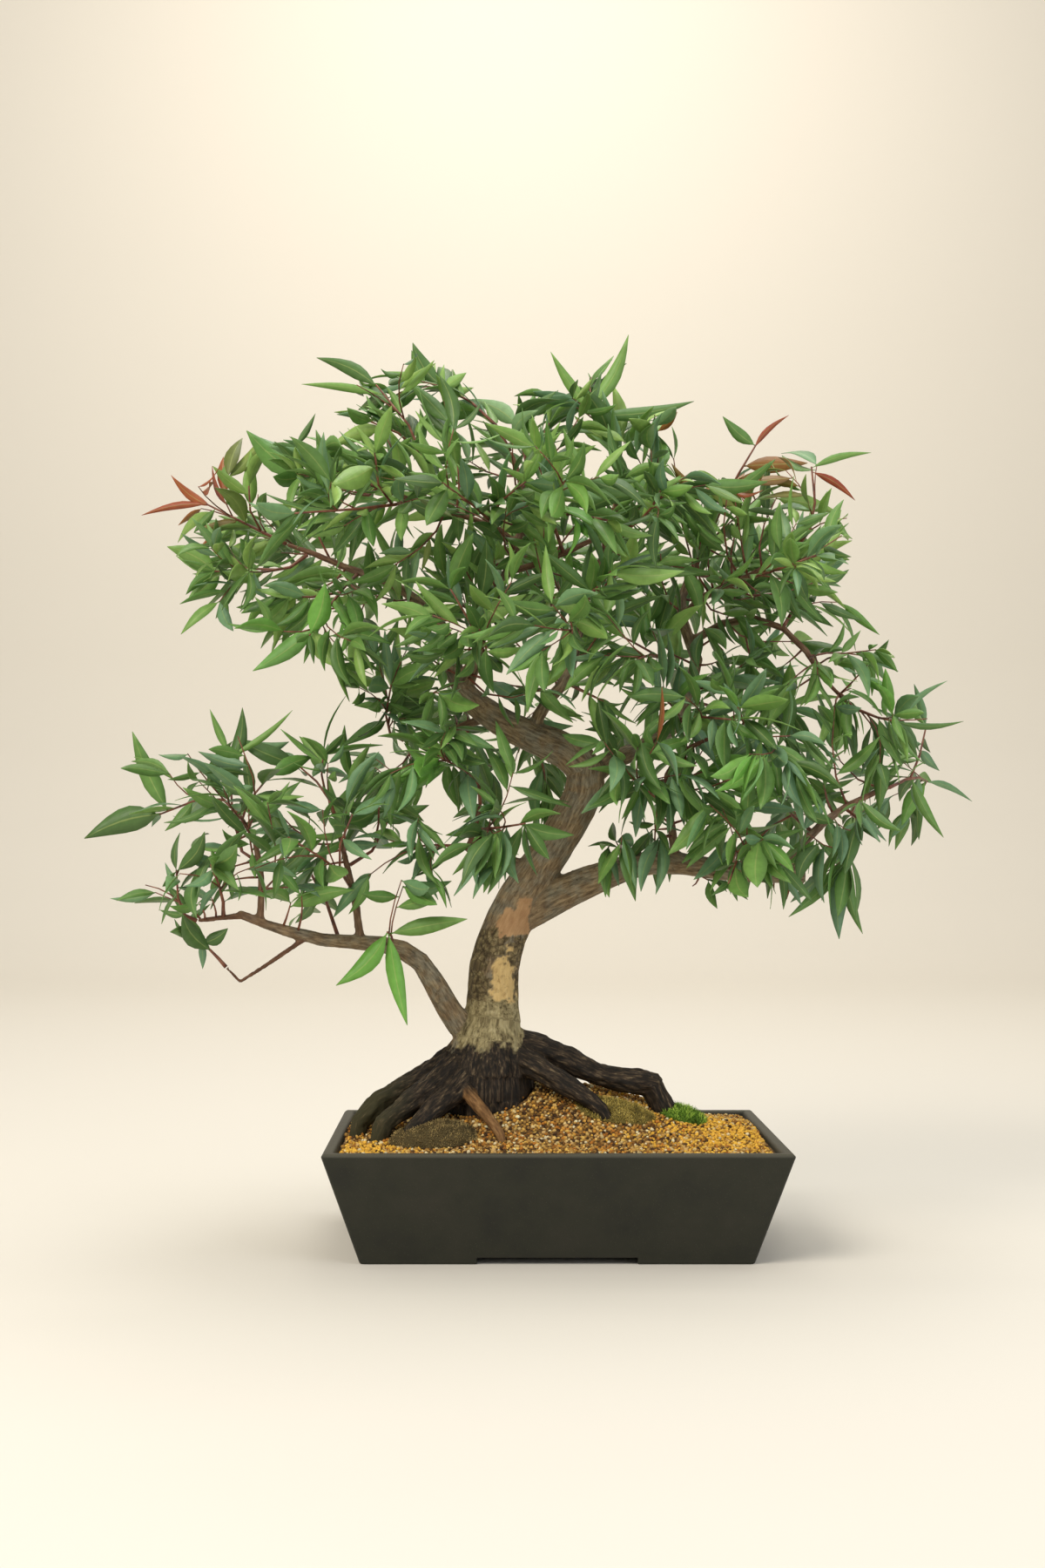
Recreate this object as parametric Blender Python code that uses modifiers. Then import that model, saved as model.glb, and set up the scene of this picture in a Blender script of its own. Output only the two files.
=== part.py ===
"""A eucalyptus bonsai in its rectangular stoneware pot.

Units are metres and +Z is up. The origin is the point of the table under the middle of the pot, whose long
side runs along X. The front, with the low front roots and the foot's slot, faces -Y.
"""

import math
import random

import bmesh
import bpy
from mathutils import Matrix, Vector
from mathutils.bvhtree import BVHTree

# Clear gap between two pieces that touch on the real object, and round the roots, where facets meet at angles.
GAP = 0.0003
ROOT_CLEARANCE = 0.0004

# Pot: outside length and depth are those of the rim's edge, and every wall slopes in by the taper.
POT_LENGTH = 0.410
POT_DEPTH = 0.290
POT_HEIGHT = 0.101
POT_TAPER = 0.0315
POT_WALL = 0.012
POT_FLOOR = 0.016
CORNER_ROUND = 0.004
RIM_ROUND = 0.0025
RIM_EDGE = POT_HEIGHT - RIM_ROUND
FOOT_HEIGHT = 0.006
FOOT_STRIP = 0.016
LONG_SLOT = 0.141
SHORT_SLOT = 0.090
DRAIN_DIAMETER = 0.022
DRAIN_SPACING = 0.180
DRAIN_SIDES = 12

# Screens over the drainage holes.
SCREEN_SIDE = 0.040
SCREEN_THICKNESS = 0.0012
SCREEN_CELLS = 2
SCREEN_BAR = 0.003

# Soil: level at the wall, height of the mound round the roots, and the mound's centre and spread.
SOIL_BELOW_RIM = 0.0045
MOUND_RISE = 0.048
MOUND_CENTRE = (-0.005, 0.010)
MOUND_SPREAD = (0.138, 0.076)
SOIL_CELLS = (17, 12)

# Moss cushions: name, centre on the soil, half length, half width, height and colour.
MOSS_CUSHIONS = [
    ("moss_brown", (-0.110, -0.080), 0.042, 0.027, 0.016, "#4b3a22"),
    ("moss_olive", (0.056, -0.038), 0.040, 0.021, 0.007, "#6d6428"),
    ("moss_green", (0.118, -0.016), 0.025, 0.019, 0.009, "#4f8a2c"),
]
MOSS_SIDES = 10
MOSS_RINGS = 6

# Wood. Each point is (x, y, z, radius) on the middle line of a trunk, limb or root.
TRUNK = [
    (-0.052, 0.014, 0.098, 0.0170), (-0.052, 0.013, 0.130, 0.0190), (-0.055, 0.008, 0.160, 0.0250),
    (-0.056, 0.004, 0.188, 0.0265), (-0.056, 0.002, 0.221, 0.0250), (-0.055, 0.000, 0.253, 0.0235),
    (-0.046, 0.000, 0.284, 0.0225), (-0.032, -0.002, 0.315, 0.0215), (-0.011, -0.005, 0.349, 0.0190),
    (0.012, -0.008, 0.385, 0.0185), (0.027, -0.009, 0.414, 0.0180), (0.029, -0.010, 0.436, 0.0178),
    (0.013, -0.010, 0.453, 0.0168), (-0.012, -0.008, 0.464, 0.0155), (-0.038, -0.005, 0.476, 0.0143),
    (-0.061, 0.000, 0.490, 0.0128), (-0.081, 0.005, 0.508, 0.0108), (-0.092, 0.014, 0.528, 0.0092),
    (-0.096, 0.018, 0.549, 0.0078), (-0.104, 0.022, 0.571, 0.0070), (-0.120, 0.027, 0.591, 0.0062),
    (-0.140, 0.030, 0.607, 0.0052), (-0.168, 0.034, 0.620, 0.0043), (-0.197, 0.036, 0.631, 0.0036),
    (-0.225, 0.038, 0.643, 0.0029), (-0.252, 0.040, 0.653, 0.0022),
]
LIMBS = {
    "right_limb": [
        (-0.030, 0.000, 0.302, 0.0180), (-0.006, -0.004, 0.315, 0.0172), (0.020, -0.010, 0.328, 0.0158),
        (0.048, -0.017, 0.339, 0.0138), (0.075, -0.023, 0.348, 0.0118), (0.103, -0.028, 0.351, 0.0110),
        (0.130, -0.033, 0.348, 0.0103), (0.158, -0.037, 0.344, 0.0100), (0.193, -0.041, 0.342, 0.0096),
        (0.228, -0.044, 0.340, 0.0090),
    ],
    "left_limb": [
        (-0.068, 0.002, 0.180, 0.0135), (-0.087, -0.003, 0.200, 0.0126), (-0.101, -0.012, 0.222, 0.0115),
        (-0.112, -0.020, 0.243, 0.0104), (-0.123, -0.028, 0.260, 0.0094), (-0.139, -0.036, 0.271, 0.0086),
        (-0.159, -0.044, 0.277, 0.0078), (-0.184, -0.052, 0.279, 0.0070), (-0.212, -0.060, 0.282, 0.0062),
        (-0.239, -0.067, 0.289, 0.0054), (-0.262, -0.073, 0.297, 0.0046), (-0.284, -0.078, 0.306, 0.0038),
    ],
    "left_hanging_twig": [
        (-0.224, -0.064, 0.284, 0.0030), (-0.241, -0.069, 0.272, 0.0026), (-0.260, -0.074, 0.259, 0.0023),
        (-0.282, -0.080, 0.245, 0.0021), (-0.294, -0.082, 0.258, 0.0018),
    ],
    "left_tip": [
        (-0.280, -0.077, 0.304, 0.0036), (-0.300, -0.084, 0.302, 0.0028), (-0.318, -0.090, 0.300, 0.0022),
    ],
    "left_up_outer": [
        (-0.265, -0.073, 0.297, 0.0040), (-0.264, -0.070, 0.322, 0.0036), (-0.265, -0.066, 0.345, 0.0032),
        (-0.271, -0.062, 0.371, 0.0028), (-0.285, -0.054, 0.394, 0.0022),
    ],
    "left_up_inner": [
        (-0.176, -0.050, 0.278, 0.0044), (-0.180, -0.048, 0.308, 0.0040), (-0.186, -0.044, 0.335, 0.0035),
        (-0.193, -0.038, 0.363, 0.0030), (-0.200, -0.032, 0.391, 0.0025),
    ],
    "right_riser": [
        (0.026, -0.010, 0.424, 0.0115), (0.053, 0.005, 0.445, 0.0098), (0.077, 0.018, 0.455, 0.0088),
        (0.100, 0.030, 0.466, 0.0080), (0.117, 0.038, 0.481, 0.0074), (0.127, 0.044, 0.501, 0.0070),
        (0.134, 0.048, 0.523, 0.0067), (0.139, 0.050, 0.544, 0.0064), (0.133, 0.052, 0.561, 0.0060),
        (0.126, 0.055, 0.582, 0.0054), (0.125, 0.058, 0.603, 0.0048), (0.134, 0.062, 0.627, 0.0041),
        (0.146, 0.066, 0.651, 0.0034), (0.158, 0.070, 0.677, 0.0026),
    ],
    "right_arch": [
        (0.135, 0.051, 0.562, 0.0048), (0.163, 0.042, 0.578, 0.0044), (0.191, 0.032, 0.582, 0.0040),
        (0.218, 0.022, 0.571, 0.0036), (0.238, 0.015, 0.549, 0.0032), (0.253, 0.010, 0.524, 0.0028),
        (0.275, 0.008, 0.501, 0.0023),
    ],
    "right_upper": [
        (0.125, 0.056, 0.584, 0.0046), (0.142, 0.040, 0.602, 0.0042), (0.165, 0.020, 0.612, 0.0038),
        (0.183, 0.005, 0.618, 0.0034), (0.204, -0.008, 0.628, 0.0030), (0.223, -0.015, 0.640, 0.0025),
    ],
    "middle_riser": [
        (-0.019, -0.008, 0.464, 0.0070), (-0.014, -0.012, 0.486, 0.0064), (-0.005, -0.016, 0.501, 0.0060),
        (0.006, -0.020, 0.512, 0.0056), (0.015, -0.024, 0.529, 0.0052), (0.021, -0.026, 0.550, 0.0048),
        (0.025, -0.025, 0.574, 0.0044), (0.032, -0.020, 0.603, 0.0039), (0.045, -0.013, 0.633, 0.0034),
        (0.054, -0.005, 0.662, 0.0029), (0.062, 0.003, 0.696, 0.0022),
    ],
    "leader": [
        (-0.082, 0.006, 0.509, 0.0066), (-0.073, -0.004, 0.535, 0.0062), (-0.067, -0.010, 0.561, 0.0058),
        (-0.059, -0.015, 0.586, 0.0053), (-0.047, -0.018, 0.610, 0.0048), (-0.037, -0.018, 0.634, 0.0043),
        (-0.030, -0.015, 0.660, 0.0038), (-0.029, -0.012, 0.686, 0.0033), (-0.032, -0.010, 0.711, 0.0028),
        (-0.040, -0.008, 0.732, 0.0022),
    ],
    "leader_right": [
        (-0.043, -0.018, 0.618, 0.0038), (-0.016, -0.030, 0.625, 0.0035), (0.007, -0.038, 0.633, 0.0032),
        (0.034, -0.045, 0.644, 0.0029), (0.062, -0.052, 0.652, 0.0022),
    ],
    "leader_left": [
        (-0.034, -0.016, 0.645, 0.0038), (-0.053, -0.026, 0.658, 0.0035), (-0.077, -0.036, 0.666, 0.0032),
        (-0.105, -0.043, 0.673, 0.0029), (-0.135, -0.048, 0.682, 0.0026), (-0.168, -0.052, 0.694, 0.0021),
    ],
    "limb_twig": [
        (0.112, -0.030, 0.350, 0.0050), (0.108, -0.034, 0.379, 0.0045), (0.103, -0.040, 0.407, 0.0040),
        (0.102, -0.048, 0.430, 0.0036), (0.114, -0.056, 0.451, 0.0030), (0.134, -0.064, 0.461, 0.0022),
    ],
    "limb_end": [
        (0.211, -0.043, 0.341, 0.0054), (0.227, -0.040, 0.369, 0.0048), (0.248, -0.034, 0.389, 0.0042),
        (0.272, -0.020, 0.404, 0.0036), (0.299, 0.000, 0.415, 0.0028), (0.318, 0.022, 0.421, 0.0022),
    ],
    "hollow_twig": [
        (-0.026, -0.003, 0.348, 0.0052), (-0.051, -0.012, 0.357, 0.0043), (-0.068, -0.020, 0.355, 0.0038),
        (-0.079, -0.026, 0.363, 0.0034), (-0.073, -0.030, 0.383, 0.0030), (-0.068, -0.032, 0.403, 0.0023),
    ],
    "crook_twig": [
        (-0.056, 0.003, 0.487, 0.0050), (-0.077, 0.012, 0.481, 0.0044), (-0.098, 0.020, 0.474, 0.0038),
        (-0.119, 0.026, 0.467, 0.0032), (-0.139, 0.030, 0.466, 0.0023),
    ],
    "crook_stub": [
        (-0.090, 0.010, 0.518, 0.0070), (-0.083, -0.008, 0.526, 0.0058), (-0.078, -0.015, 0.531, 0.0050),
    ],
}
ROOTS = {
    "root_crown": [
        (-0.057, 0.002, 0.204, 0.0240), (-0.059, 0.001, 0.184, 0.0340), (-0.062, 0.000, 0.163, 0.0420),
        (-0.063, 0.000, 0.140, 0.0460), (-0.062, 0.001, 0.112, 0.0440),
    ],
    "root_left_ridge": [
        (-0.070, 0.002, 0.184, 0.0165), (-0.104, -0.006, 0.158, 0.0145), (-0.135, -0.016, 0.142, 0.0125),
        (-0.160, -0.026, 0.131, 0.0110), (-0.178, -0.034, 0.114, 0.0090), (-0.182, -0.040, 0.086, 0.0070),
    ],
    "root_left_front": [
        (-0.072, -0.008, 0.176, 0.0155), (-0.104, -0.030, 0.150, 0.0135), (-0.133, -0.048, 0.131, 0.0115),
        (-0.155, -0.060, 0.115, 0.0095), (-0.164, -0.066, 0.088, 0.0070),
    ],
    "root_left_back": [
        (-0.070, 0.012, 0.180, 0.0140), (-0.110, 0.034, 0.152, 0.0110), (-0.144, 0.052, 0.134, 0.0095),
        (-0.168, 0.062, 0.112, 0.0080), (-0.172, 0.064, 0.082, 0.0065),
    ],
    "root_front_low": [
        (-0.068, -0.014, 0.166, 0.0135), (-0.093, -0.042, 0.141, 0.0118), (-0.113, -0.062, 0.126, 0.0100),
        (-0.130, -0.078, 0.111, 0.0078), (-0.136, -0.086, 0.086, 0.0060),
    ],
    "root_tan": [
        (-0.085, -0.030, 0.150, 0.0075), (-0.075, -0.052, 0.137, 0.0064), (-0.062, -0.070, 0.124, 0.0056),
        (-0.050, -0.085, 0.110, 0.0046), (-0.044, -0.092, 0.090, 0.0036),
    ],
    "root_right_hump": [
        (-0.042, 0.004, 0.184, 0.0150), (-0.012, -0.002, 0.177, 0.0145), (0.014, -0.006, 0.168, 0.0125),
        (0.040, -0.010, 0.154, 0.0110), (0.066, -0.012, 0.149, 0.0120), (0.090, -0.013, 0.145, 0.0130),
        (0.102, -0.014, 0.124, 0.0115), (0.104, -0.014, 0.098, 0.0085),
    ],
    "root_right_front": [
        (-0.040, -0.010, 0.174, 0.0135), (-0.006, -0.030, 0.157, 0.0115), (0.020, -0.040, 0.143, 0.0095),
        (0.042, -0.047, 0.127, 0.0075), (0.056, -0.050, 0.102, 0.0055),
    ],
    "root_right_back": [
        (-0.040, 0.012, 0.180, 0.0130), (-0.003, 0.034, 0.168, 0.0102), (0.034, 0.050, 0.150, 0.0090),
        (0.066, 0.058, 0.128, 0.0078), (0.084, 0.062, 0.096, 0.0065),
    ],
    "root_back": [
        (-0.059, 0.014, 0.180, 0.0140), (-0.070, 0.046, 0.160, 0.0108), (-0.086, 0.072, 0.134, 0.0090),
        (-0.094, 0.084, 0.096, 0.0075),
    ],
    "root_back_right": [
        (-0.050, 0.014, 0.176, 0.0125), (-0.024, 0.050, 0.152, 0.0095), (0.002, 0.074, 0.124, 0.0080),
        (0.010, 0.082, 0.092, 0.0065),
    ],
}
TRUNK_SIDES = 12
LIMB_SIDES = 8
THIN_SIDES = 6
THIN_RADIUS = 0.0055
SMOOTHED_RADIUS = 0.0095

# Leafy sprays: name, the limb that it grows on, how far along that limb, the tip of its main twig, its
# side twigs, and how much its leaves droop, from 0, straight out, to 1, hanging.
SPRAYS = [
    ("low_1", "left_up_outer", 1.00, (-0.362, -0.030, 0.395), 1, 0.3),
    ("low_2", "left_up_outer", 0.55, (-0.298, -0.036, 0.453), 1, 0.2),
    ("low_3", "left_tip", 1.00, (-0.335, -0.105, 0.345), 1, 0.4),
    ("low_4", "left_tip", 0.45, (-0.300, -0.139, 0.350), 1, 0.5),
    ("low_5", "left_up_inner", 1.00, (-0.236, -0.008, 0.440), 1, 0.2),
    ("low_6", "left_up_inner", 0.62, (-0.150, 0.020, 0.424), 1, 0.6),
    ("low_7", "left_up_inner", 0.45, (-0.233, -0.140, 0.374), 1, 0.5),
    ("low_8", "left_limb", 0.66, (-0.262, 0.060, 0.385), 1, 0.5),
    ("low_9", "left_hanging_twig", 1.00, (-0.316, -0.090, 0.282), 0, 0.2),
    ("low_10", "left_limb", 0.50, (-0.150, -0.090, 0.290), 0, 0.7),
    ("mid_1", "hollow_twig", 1.00, (-0.104, -0.062, 0.446), 1, 0.6),
    ("mid_2", "hollow_twig", 0.60, (-0.124, -0.058, 0.366), 0, 0.7),
    ("mid_3", "hollow_twig", 0.80, (-0.028, -0.106, 0.386), 1, 0.6),
    ("mid_4", "crook_twig", 1.00, (-0.150, -0.020, 0.515), 1, 0.4),
    ("mid_5", "crook_twig", 0.60, (-0.140, 0.094, 0.430), 1, 0.6),
    ("left_1", "trunk", 1.00, (-0.328, 0.030, 0.690), 1, 0.1),
    ("left_2", "trunk", 0.97, (-0.318, 0.014, 0.624), 1, 0.4),
    ("left_3", "trunk", 0.90, (-0.222, -0.060, 0.556), 1, 0.5),
    ("left_4", "trunk", 0.86, (-0.240, 0.128, 0.600), 1, 0.5),
    ("left_5", "leader_left", 1.00, (-0.229, -0.070, 0.698), 1, 0.2),
    ("left_6", "leader_left", 0.65, (-0.163, -0.040, 0.787), 1, 0.0),
    ("left_7", "leader_left", 0.75, (-0.226, -0.160, 0.650), 1, 0.4),
    ("left_8", "leader_left", 0.50, (-0.180, 0.090, 0.738), 1, 0.1),
    ("left_9", "trunk", 0.93, (-0.280, 0.160, 0.676), 1, 0.3),
    ("top_1", "leader", 1.00, (-0.107, 0.000, 0.797), 1, 0.0),
    ("top_2", "leader", 0.85, (-0.033, 0.059, 0.772), 1, 0.0),
    ("top_3", "leader", 0.60, (-0.100, -0.150, 0.678), 1, 0.3),
    ("top_4", "middle_riser", 1.00, (0.034, 0.010, 0.777), 1, 0.0),
    ("top_5", "middle_riser", 0.85, (0.098, 0.000, 0.715), 1, 0.1),
    ("top_6", "leader_right", 1.00, (0.091, -0.102, 0.679), 1, 0.3),
    ("top_7", "leader_right", 0.50, (0.004, -0.180, 0.674), 1, 0.3),
    ("top_8", "leader", 0.45, (-0.020, 0.180, 0.690), 1, 0.3),
    ("top_9", "middle_riser", 0.60, (0.060, 0.166, 0.640), 1, 0.4),
    ("centre_1", "middle_riser", 0.45, (0.010, -0.186, 0.545), 1, 0.6),
    ("centre_2", "leader", 0.15, (-0.068, -0.150, 0.552), 1, 0.5),
    ("centre_3", "trunk", 0.55, (-0.040, 0.150, 0.480), 1, 0.6),
    ("right_1", "right_riser", 1.00, (0.196, 0.050, 0.750), 1, 0.0),
    ("right_2", "right_upper", 1.00, (0.236, -0.030, 0.714), 1, 0.1),
    ("right_3", "right_upper", 0.65, (0.228, -0.105, 0.622), 1, 0.4),
    ("right_4", "right_arch", 0.50, (0.246, 0.090, 0.632), 1, 0.3),
    ("right_5", "right_arch", 1.00, (0.318, -0.020, 0.480), 1, 0.4),
    ("right_6", "right_riser", 0.25, (0.150, -0.130, 0.476), 1, 0.6),
    ("right_7", "right_riser", 0.85, (0.180, 0.190, 0.640), 1, 0.3),
    ("right_8", "right_riser", 0.50, (0.070, -0.110, 0.530), 1, 0.6),
    ("right_9", "right_riser", 0.45, (0.210, 0.180, 0.520), 1, 0.5),
    ("end_1", "limb_end", 1.00, (0.380, 0.140, 0.430), 1, 0.5),
    ("end_2", "limb_end", 0.55, (0.262, -0.070, 0.352), 0, 0.9),
    ("end_3", "limb_twig", 1.00, (0.196, -0.150, 0.440), 1, 0.6),
    ("end_4", "limb_twig", 0.60, (0.066, -0.120, 0.424), 1, 0.7),
    ("end_5", "right_limb", 0.75, (0.176, -0.140, 0.372), 1, 0.7),
    ("end_6", "limb_end", 0.30, (0.236, 0.100, 0.410), 1, 0.6),
]
# Leaves that stand out of the outline: spray, how far along its main twig, the leaf's tip and its width.
STANDOUT_LEAVES = [
    ("low_1", 0.985, (-0.433, -0.020, 0.373), 0.0241),
    ("low_1", 0.9, (-0.387, -0.030, 0.471), 0.0176),
    ("low_2", 0.985, (-0.315, -0.036, 0.491), 0.0072),
    ("low_2", 0.95, (-0.239, -0.040, 0.490), 0.0064),
    ("low_2", 0.88, (-0.286, -0.030, 0.493), 0.0128),
    ("low_9", 0.98, (-0.314, -0.090, 0.257), 0.0070),
    ("low_9", 0.9, (-0.292, -0.086, 0.293), 0.0124),
    ("low_10", 0.98, (-0.195, -0.098, 0.243), 0.0169),
    ("low_10", 0.9, (-0.132, -0.100, 0.208), 0.0154),
    ("low_10", 0.82, (-0.079, -0.104, 0.302), 0.0153),
    ("left_1", 0.985, (-0.390, 0.036, 0.680), 0.0074),
    ("left_1", 0.93, (-0.361, 0.030, 0.717), 0.0091),
    ("left_1", 0.88, (-0.338, 0.020, 0.661), 0.0082),
    ("left_2", 0.985, (-0.362, 0.014, 0.647), 0.0196),
    ("left_2", 0.93, (-0.343, 0.010, 0.595), 0.0163),
    ("left_3", 0.985, (-0.207, -0.070, 0.602), 0.0203),
    ("left_3", 0.93, (-0.197, -0.066, 0.527), 0.0188),
    ("left_3", 0.87, (-0.273, -0.060, 0.524), 0.0173),
    ("left_5", 0.985, (-0.277, -0.074, 0.738), 0.0218),
    ("left_6", 0.985, (-0.217, -0.042, 0.811), 0.0135),
    ("left_6", 0.9, (-0.230, -0.050, 0.785), 0.0079),
    ("top_1", 0.985, (-0.131, 0.000, 0.835), 0.0162),
    ("top_1", 0.93, (-0.081, 0.004, 0.808), 0.0114),
    ("top_4", 0.985, (0.071, 0.010, 0.845), 0.0139),
    ("top_4", 0.96, (-0.002, 0.010, 0.829), 0.0106),
    ("top_4", 0.9, (0.133, 0.016, 0.784), 0.0131),
    ("right_1", 0.985, (0.164, 0.050, 0.777), 0.0125),
    ("right_1", 0.95, (0.228, 0.054, 0.779), 0.0058),
    ("right_2", 0.985, (0.290, -0.034, 0.726), 0.0072),
    ("right_2", 0.94, (0.276, -0.030, 0.683), 0.0072),
    ("right_4", 0.985, (0.289, 0.084, 0.645), 0.0170),
    ("right_5", 0.985, (0.362, -0.024, 0.518), 0.0064),
    ("right_5", 0.95, (0.378, -0.020, 0.481), 0.0064),
    ("right_5", 0.9, (0.323, -0.026, 0.449), 0.0144),
    ("mid_3", 0.98, (-0.061, -0.112, 0.324), 0.0137),
    ("end_1", 0.985, (0.433, 0.176, 0.411), 0.0071),
    ("end_1", 0.93, (0.352, 0.130, 0.386), 0.0165),
    ("end_1", 0.42, (0.379, 0.066, 0.374), 0.0109),
    ("end_2", 0.985, (0.253, -0.078, 0.283), 0.0171),
    ("end_2", 0.93, (0.277, -0.062, 0.287), 0.0118),
    ("end_2", 0.86, (0.207, -0.084, 0.303), 0.0116),
]
SPRAY_TWIG_RADIUS = 0.0019
SIDE_TWIG_RADIUS = 0.0013
TWIG_END_RADIUS = 0.0008
TWIG_SPANS = 3
SIDE_TWIG_SPANS = 2
# A main twig leaves the bark square for a share of its length and lifts a little. A side twig starts within
# these shares of it, is this share of its length, and is kept between two lengths.
SQUARE_SHARE = 0.4
TWIG_LIFT = 0.05
SIDE_TWIG_STARTS = (0.28, 0.40)
SIDE_TWIG_SHARE = 0.52
SIDE_TWIG_LENGTHS = (0.038, 0.085)
SIDE_TWIG_SAG = 0.16
LEAF_LENGTHS = (0.040, 0.070)
LEAF_WIDTH_SHARES = (0.23, 0.32)
LEAF_ARCH = 0.07
BLADE_THICKNESS = 0.0009
# Sections of a leaf from its root to its tip: share of the length, share of the width, share of the thickness.
LEAF_SECTIONS = [(0.0, 0.09, 0.9), (0.34, 1.0, 1.0), (0.68, 0.68, 0.9)]
LEAST_LEAF_WIDTH = 0.0011
# Share of the leaves that hang with an edge up, and how far a standout leaf turns from that with each try.
EDGE_UP_SHARE = 0.55
STANDOUT_TURN = 0.05
# Room kept round a twig or leaf, left out over the share of its length by which it is rooted in its parent.
CLEARANCE = 0.0007
TWIG_ROOTED = 0.04
SIDE_TWIG_ROOTED = 0.15
LEAF_ROOTED = 0.05
# A twig or leaf that has no room is tried again with other draws. A seat moves by a step, a tip wanders.
TRIES = 24
SEAT_STEP = 0.004
TIP_WANDER = 0.003
# The crown stays within half this depth of the middle, and apart from its standout leaves within this outline
# of (x, z) points. The outline is that of the middle depth and spreads evenly towards the back, from a centre.
CROWN_DEPTH = 0.472
CROWN_SPREAD = 0.535
CROWN_CENTRE = (-0.061, 0.371)
CROWN_OUTLINE = [
    (-0.179, 0.487), (-0.214, 0.528), (-0.274, 0.536), (-0.272, 0.568), (-0.347, 0.563), (-0.361, 0.641),
    (-0.344, 0.680), (-0.317, 0.723), (-0.284, 0.751), (-0.240, 0.749), (-0.214, 0.785), (-0.158, 0.814),
    (-0.130, 0.830), (-0.081, 0.807), (-0.067, 0.789), (0.004, 0.791), (0.036, 0.809), (0.071, 0.836),
    (0.071, 0.789), (0.126, 0.773), (0.100, 0.745), (0.126, 0.718), (0.166, 0.706), (0.215, 0.736),
    (0.252, 0.720), (0.282, 0.674), (0.274, 0.594), (0.304, 0.568), (0.329, 0.520), (0.360, 0.511),
    (0.351, 0.468), (0.365, 0.424), (0.333, 0.379), (0.361, 0.355), (0.296, 0.355), (0.288, 0.284),
    (0.264, 0.284), (0.248, 0.314), (0.215, 0.300), (0.158, 0.314), (0.093, 0.310), (0.036, 0.318),
    (-0.029, 0.326), (-0.102, 0.306), (-0.167, 0.343), (-0.191, 0.294), (-0.248, 0.282), (-0.321, 0.257),
    (-0.370, 0.294), (-0.382, 0.334), (-0.349, 0.365), (-0.394, 0.387), (-0.410, 0.424), (-0.394, 0.464),
    (-0.321, 0.458), (-0.264, 0.482), (-0.223, 0.464),
]


def remove_everything():
    for obj in list(bpy.data.objects):
        bpy.data.objects.remove(obj, do_unlink=True)


def make_collection(name, hidden=False):
    collection = bpy.data.collections.new(name)
    bpy.context.scene.collection.children.link(collection)
    collection.hide_render = hidden
    return collection


def linear(channel):
    return channel / 12.92 if channel <= 0.04045 else ((channel + 0.055) / 1.055) ** 2.4


def material(name, colour, roughness):
    """A plain Principled material from an sRGB hex colour."""
    made = bpy.data.materials.new(name)
    made.use_nodes = True
    shader = made.node_tree.nodes["Principled BSDF"]
    channels = [int(colour[i : i + 2], 16) / 255 for i in (1, 3, 5)]
    shader.inputs["Base Color"].default_value = (*[linear(c) for c in channels], 1.0)
    shader.inputs["Roughness"].default_value = roughness
    shader.inputs["Metallic"].default_value = 0.0
    return made


def new_object(name, mesh, collection):
    obj = bpy.data.objects.new(name, mesh)
    collection.objects.link(obj)
    return obj


def finish(obj, name, finish_material, smooth_angle=None):
    """Names a finished piece, moves it to the collection of parts and gives it its material."""
    obj.name = name
    for collection in list(obj.users_collection):
        collection.objects.unlink(obj)
    parts.objects.link(obj)
    obj.data.name = name
    obj.data.materials.clear()
    obj.data.materials.append(finish_material)
    if smooth_angle is not None:
        obj.data.shade_smooth()
        obj.data.set_sharp_from_angle(angle=math.radians(smooth_angle))
    obj.hide_render = False
    obj.display_type = "TEXTURED"
    return obj


def face_outwards(bm):
    """Turns every face of a closed body outwards."""
    bmesh.ops.recalc_face_normals(bm, faces=bm.faces)
    if bm.calc_volume(signed=True) < 0:
        bmesh.ops.reverse_faces(bm, faces=bm.faces)


def as_cutter(obj):
    obj.hide_render = True
    obj.display_type = "WIRE"
    return obj


def box(name, low, high):
    """A box between two corners, in the collection of cutters."""
    bm = bmesh.new()
    bmesh.ops.create_cube(bm, size=1.0)
    low = Vector(low)
    high = Vector(high)
    bmesh.ops.scale(bm, vec=high - low, verts=bm.verts)
    bmesh.ops.translate(bm, vec=(low + high) / 2, verts=bm.verts)
    mesh = bpy.data.meshes.new(name)
    bm.to_mesh(mesh)
    bm.free()
    return as_cutter(new_object(name, mesh, cutters))


def boolean(obj, operation, other, solver="EXACT"):
    """Adds a live Boolean with one object or one collection."""
    modifier = obj.modifiers.new(operation.lower(), "BOOLEAN")
    modifier.operation = operation
    modifier.solver = solver
    if isinstance(other, bpy.types.Collection):
        modifier.operand_type = "COLLECTION"
        modifier.collection = other
    else:
        modifier.object = other
    return modifier


def apply_modifiers(obj):
    """Gives the object the mesh that its modifiers make."""
    bpy.context.view_layer.update()
    graph = bpy.context.evaluated_depsgraph_get()
    mesh = bpy.data.meshes.new_from_object(obj.evaluated_get(graph))
    obj.modifiers.clear()
    old = obj.data
    obj.data = mesh
    bpy.data.meshes.remove(old)


def keep_largest_body(obj):
    """Drops the loose scraps that a cut can leave."""
    bm = bmesh.new()
    bm.from_mesh(obj.data)
    left = set(bm.verts)
    bodies = []
    while left:
        body = {left.pop()}
        front = list(body)
        while front:
            vertex = front.pop()
            for edge in vertex.link_edges:
                other = edge.other_vert(vertex)
                if other not in body:
                    body.add(other)
                    front.append(other)
        left -= body
        bodies.append(body)
    largest = max(bodies, key=len)
    scraps = [vertex for body in bodies if body is not largest for vertex in body]
    bmesh.ops.delete(bm, geom=scraps, context="VERTS")
    bm.to_mesh(obj.data)
    bm.free()


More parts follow.
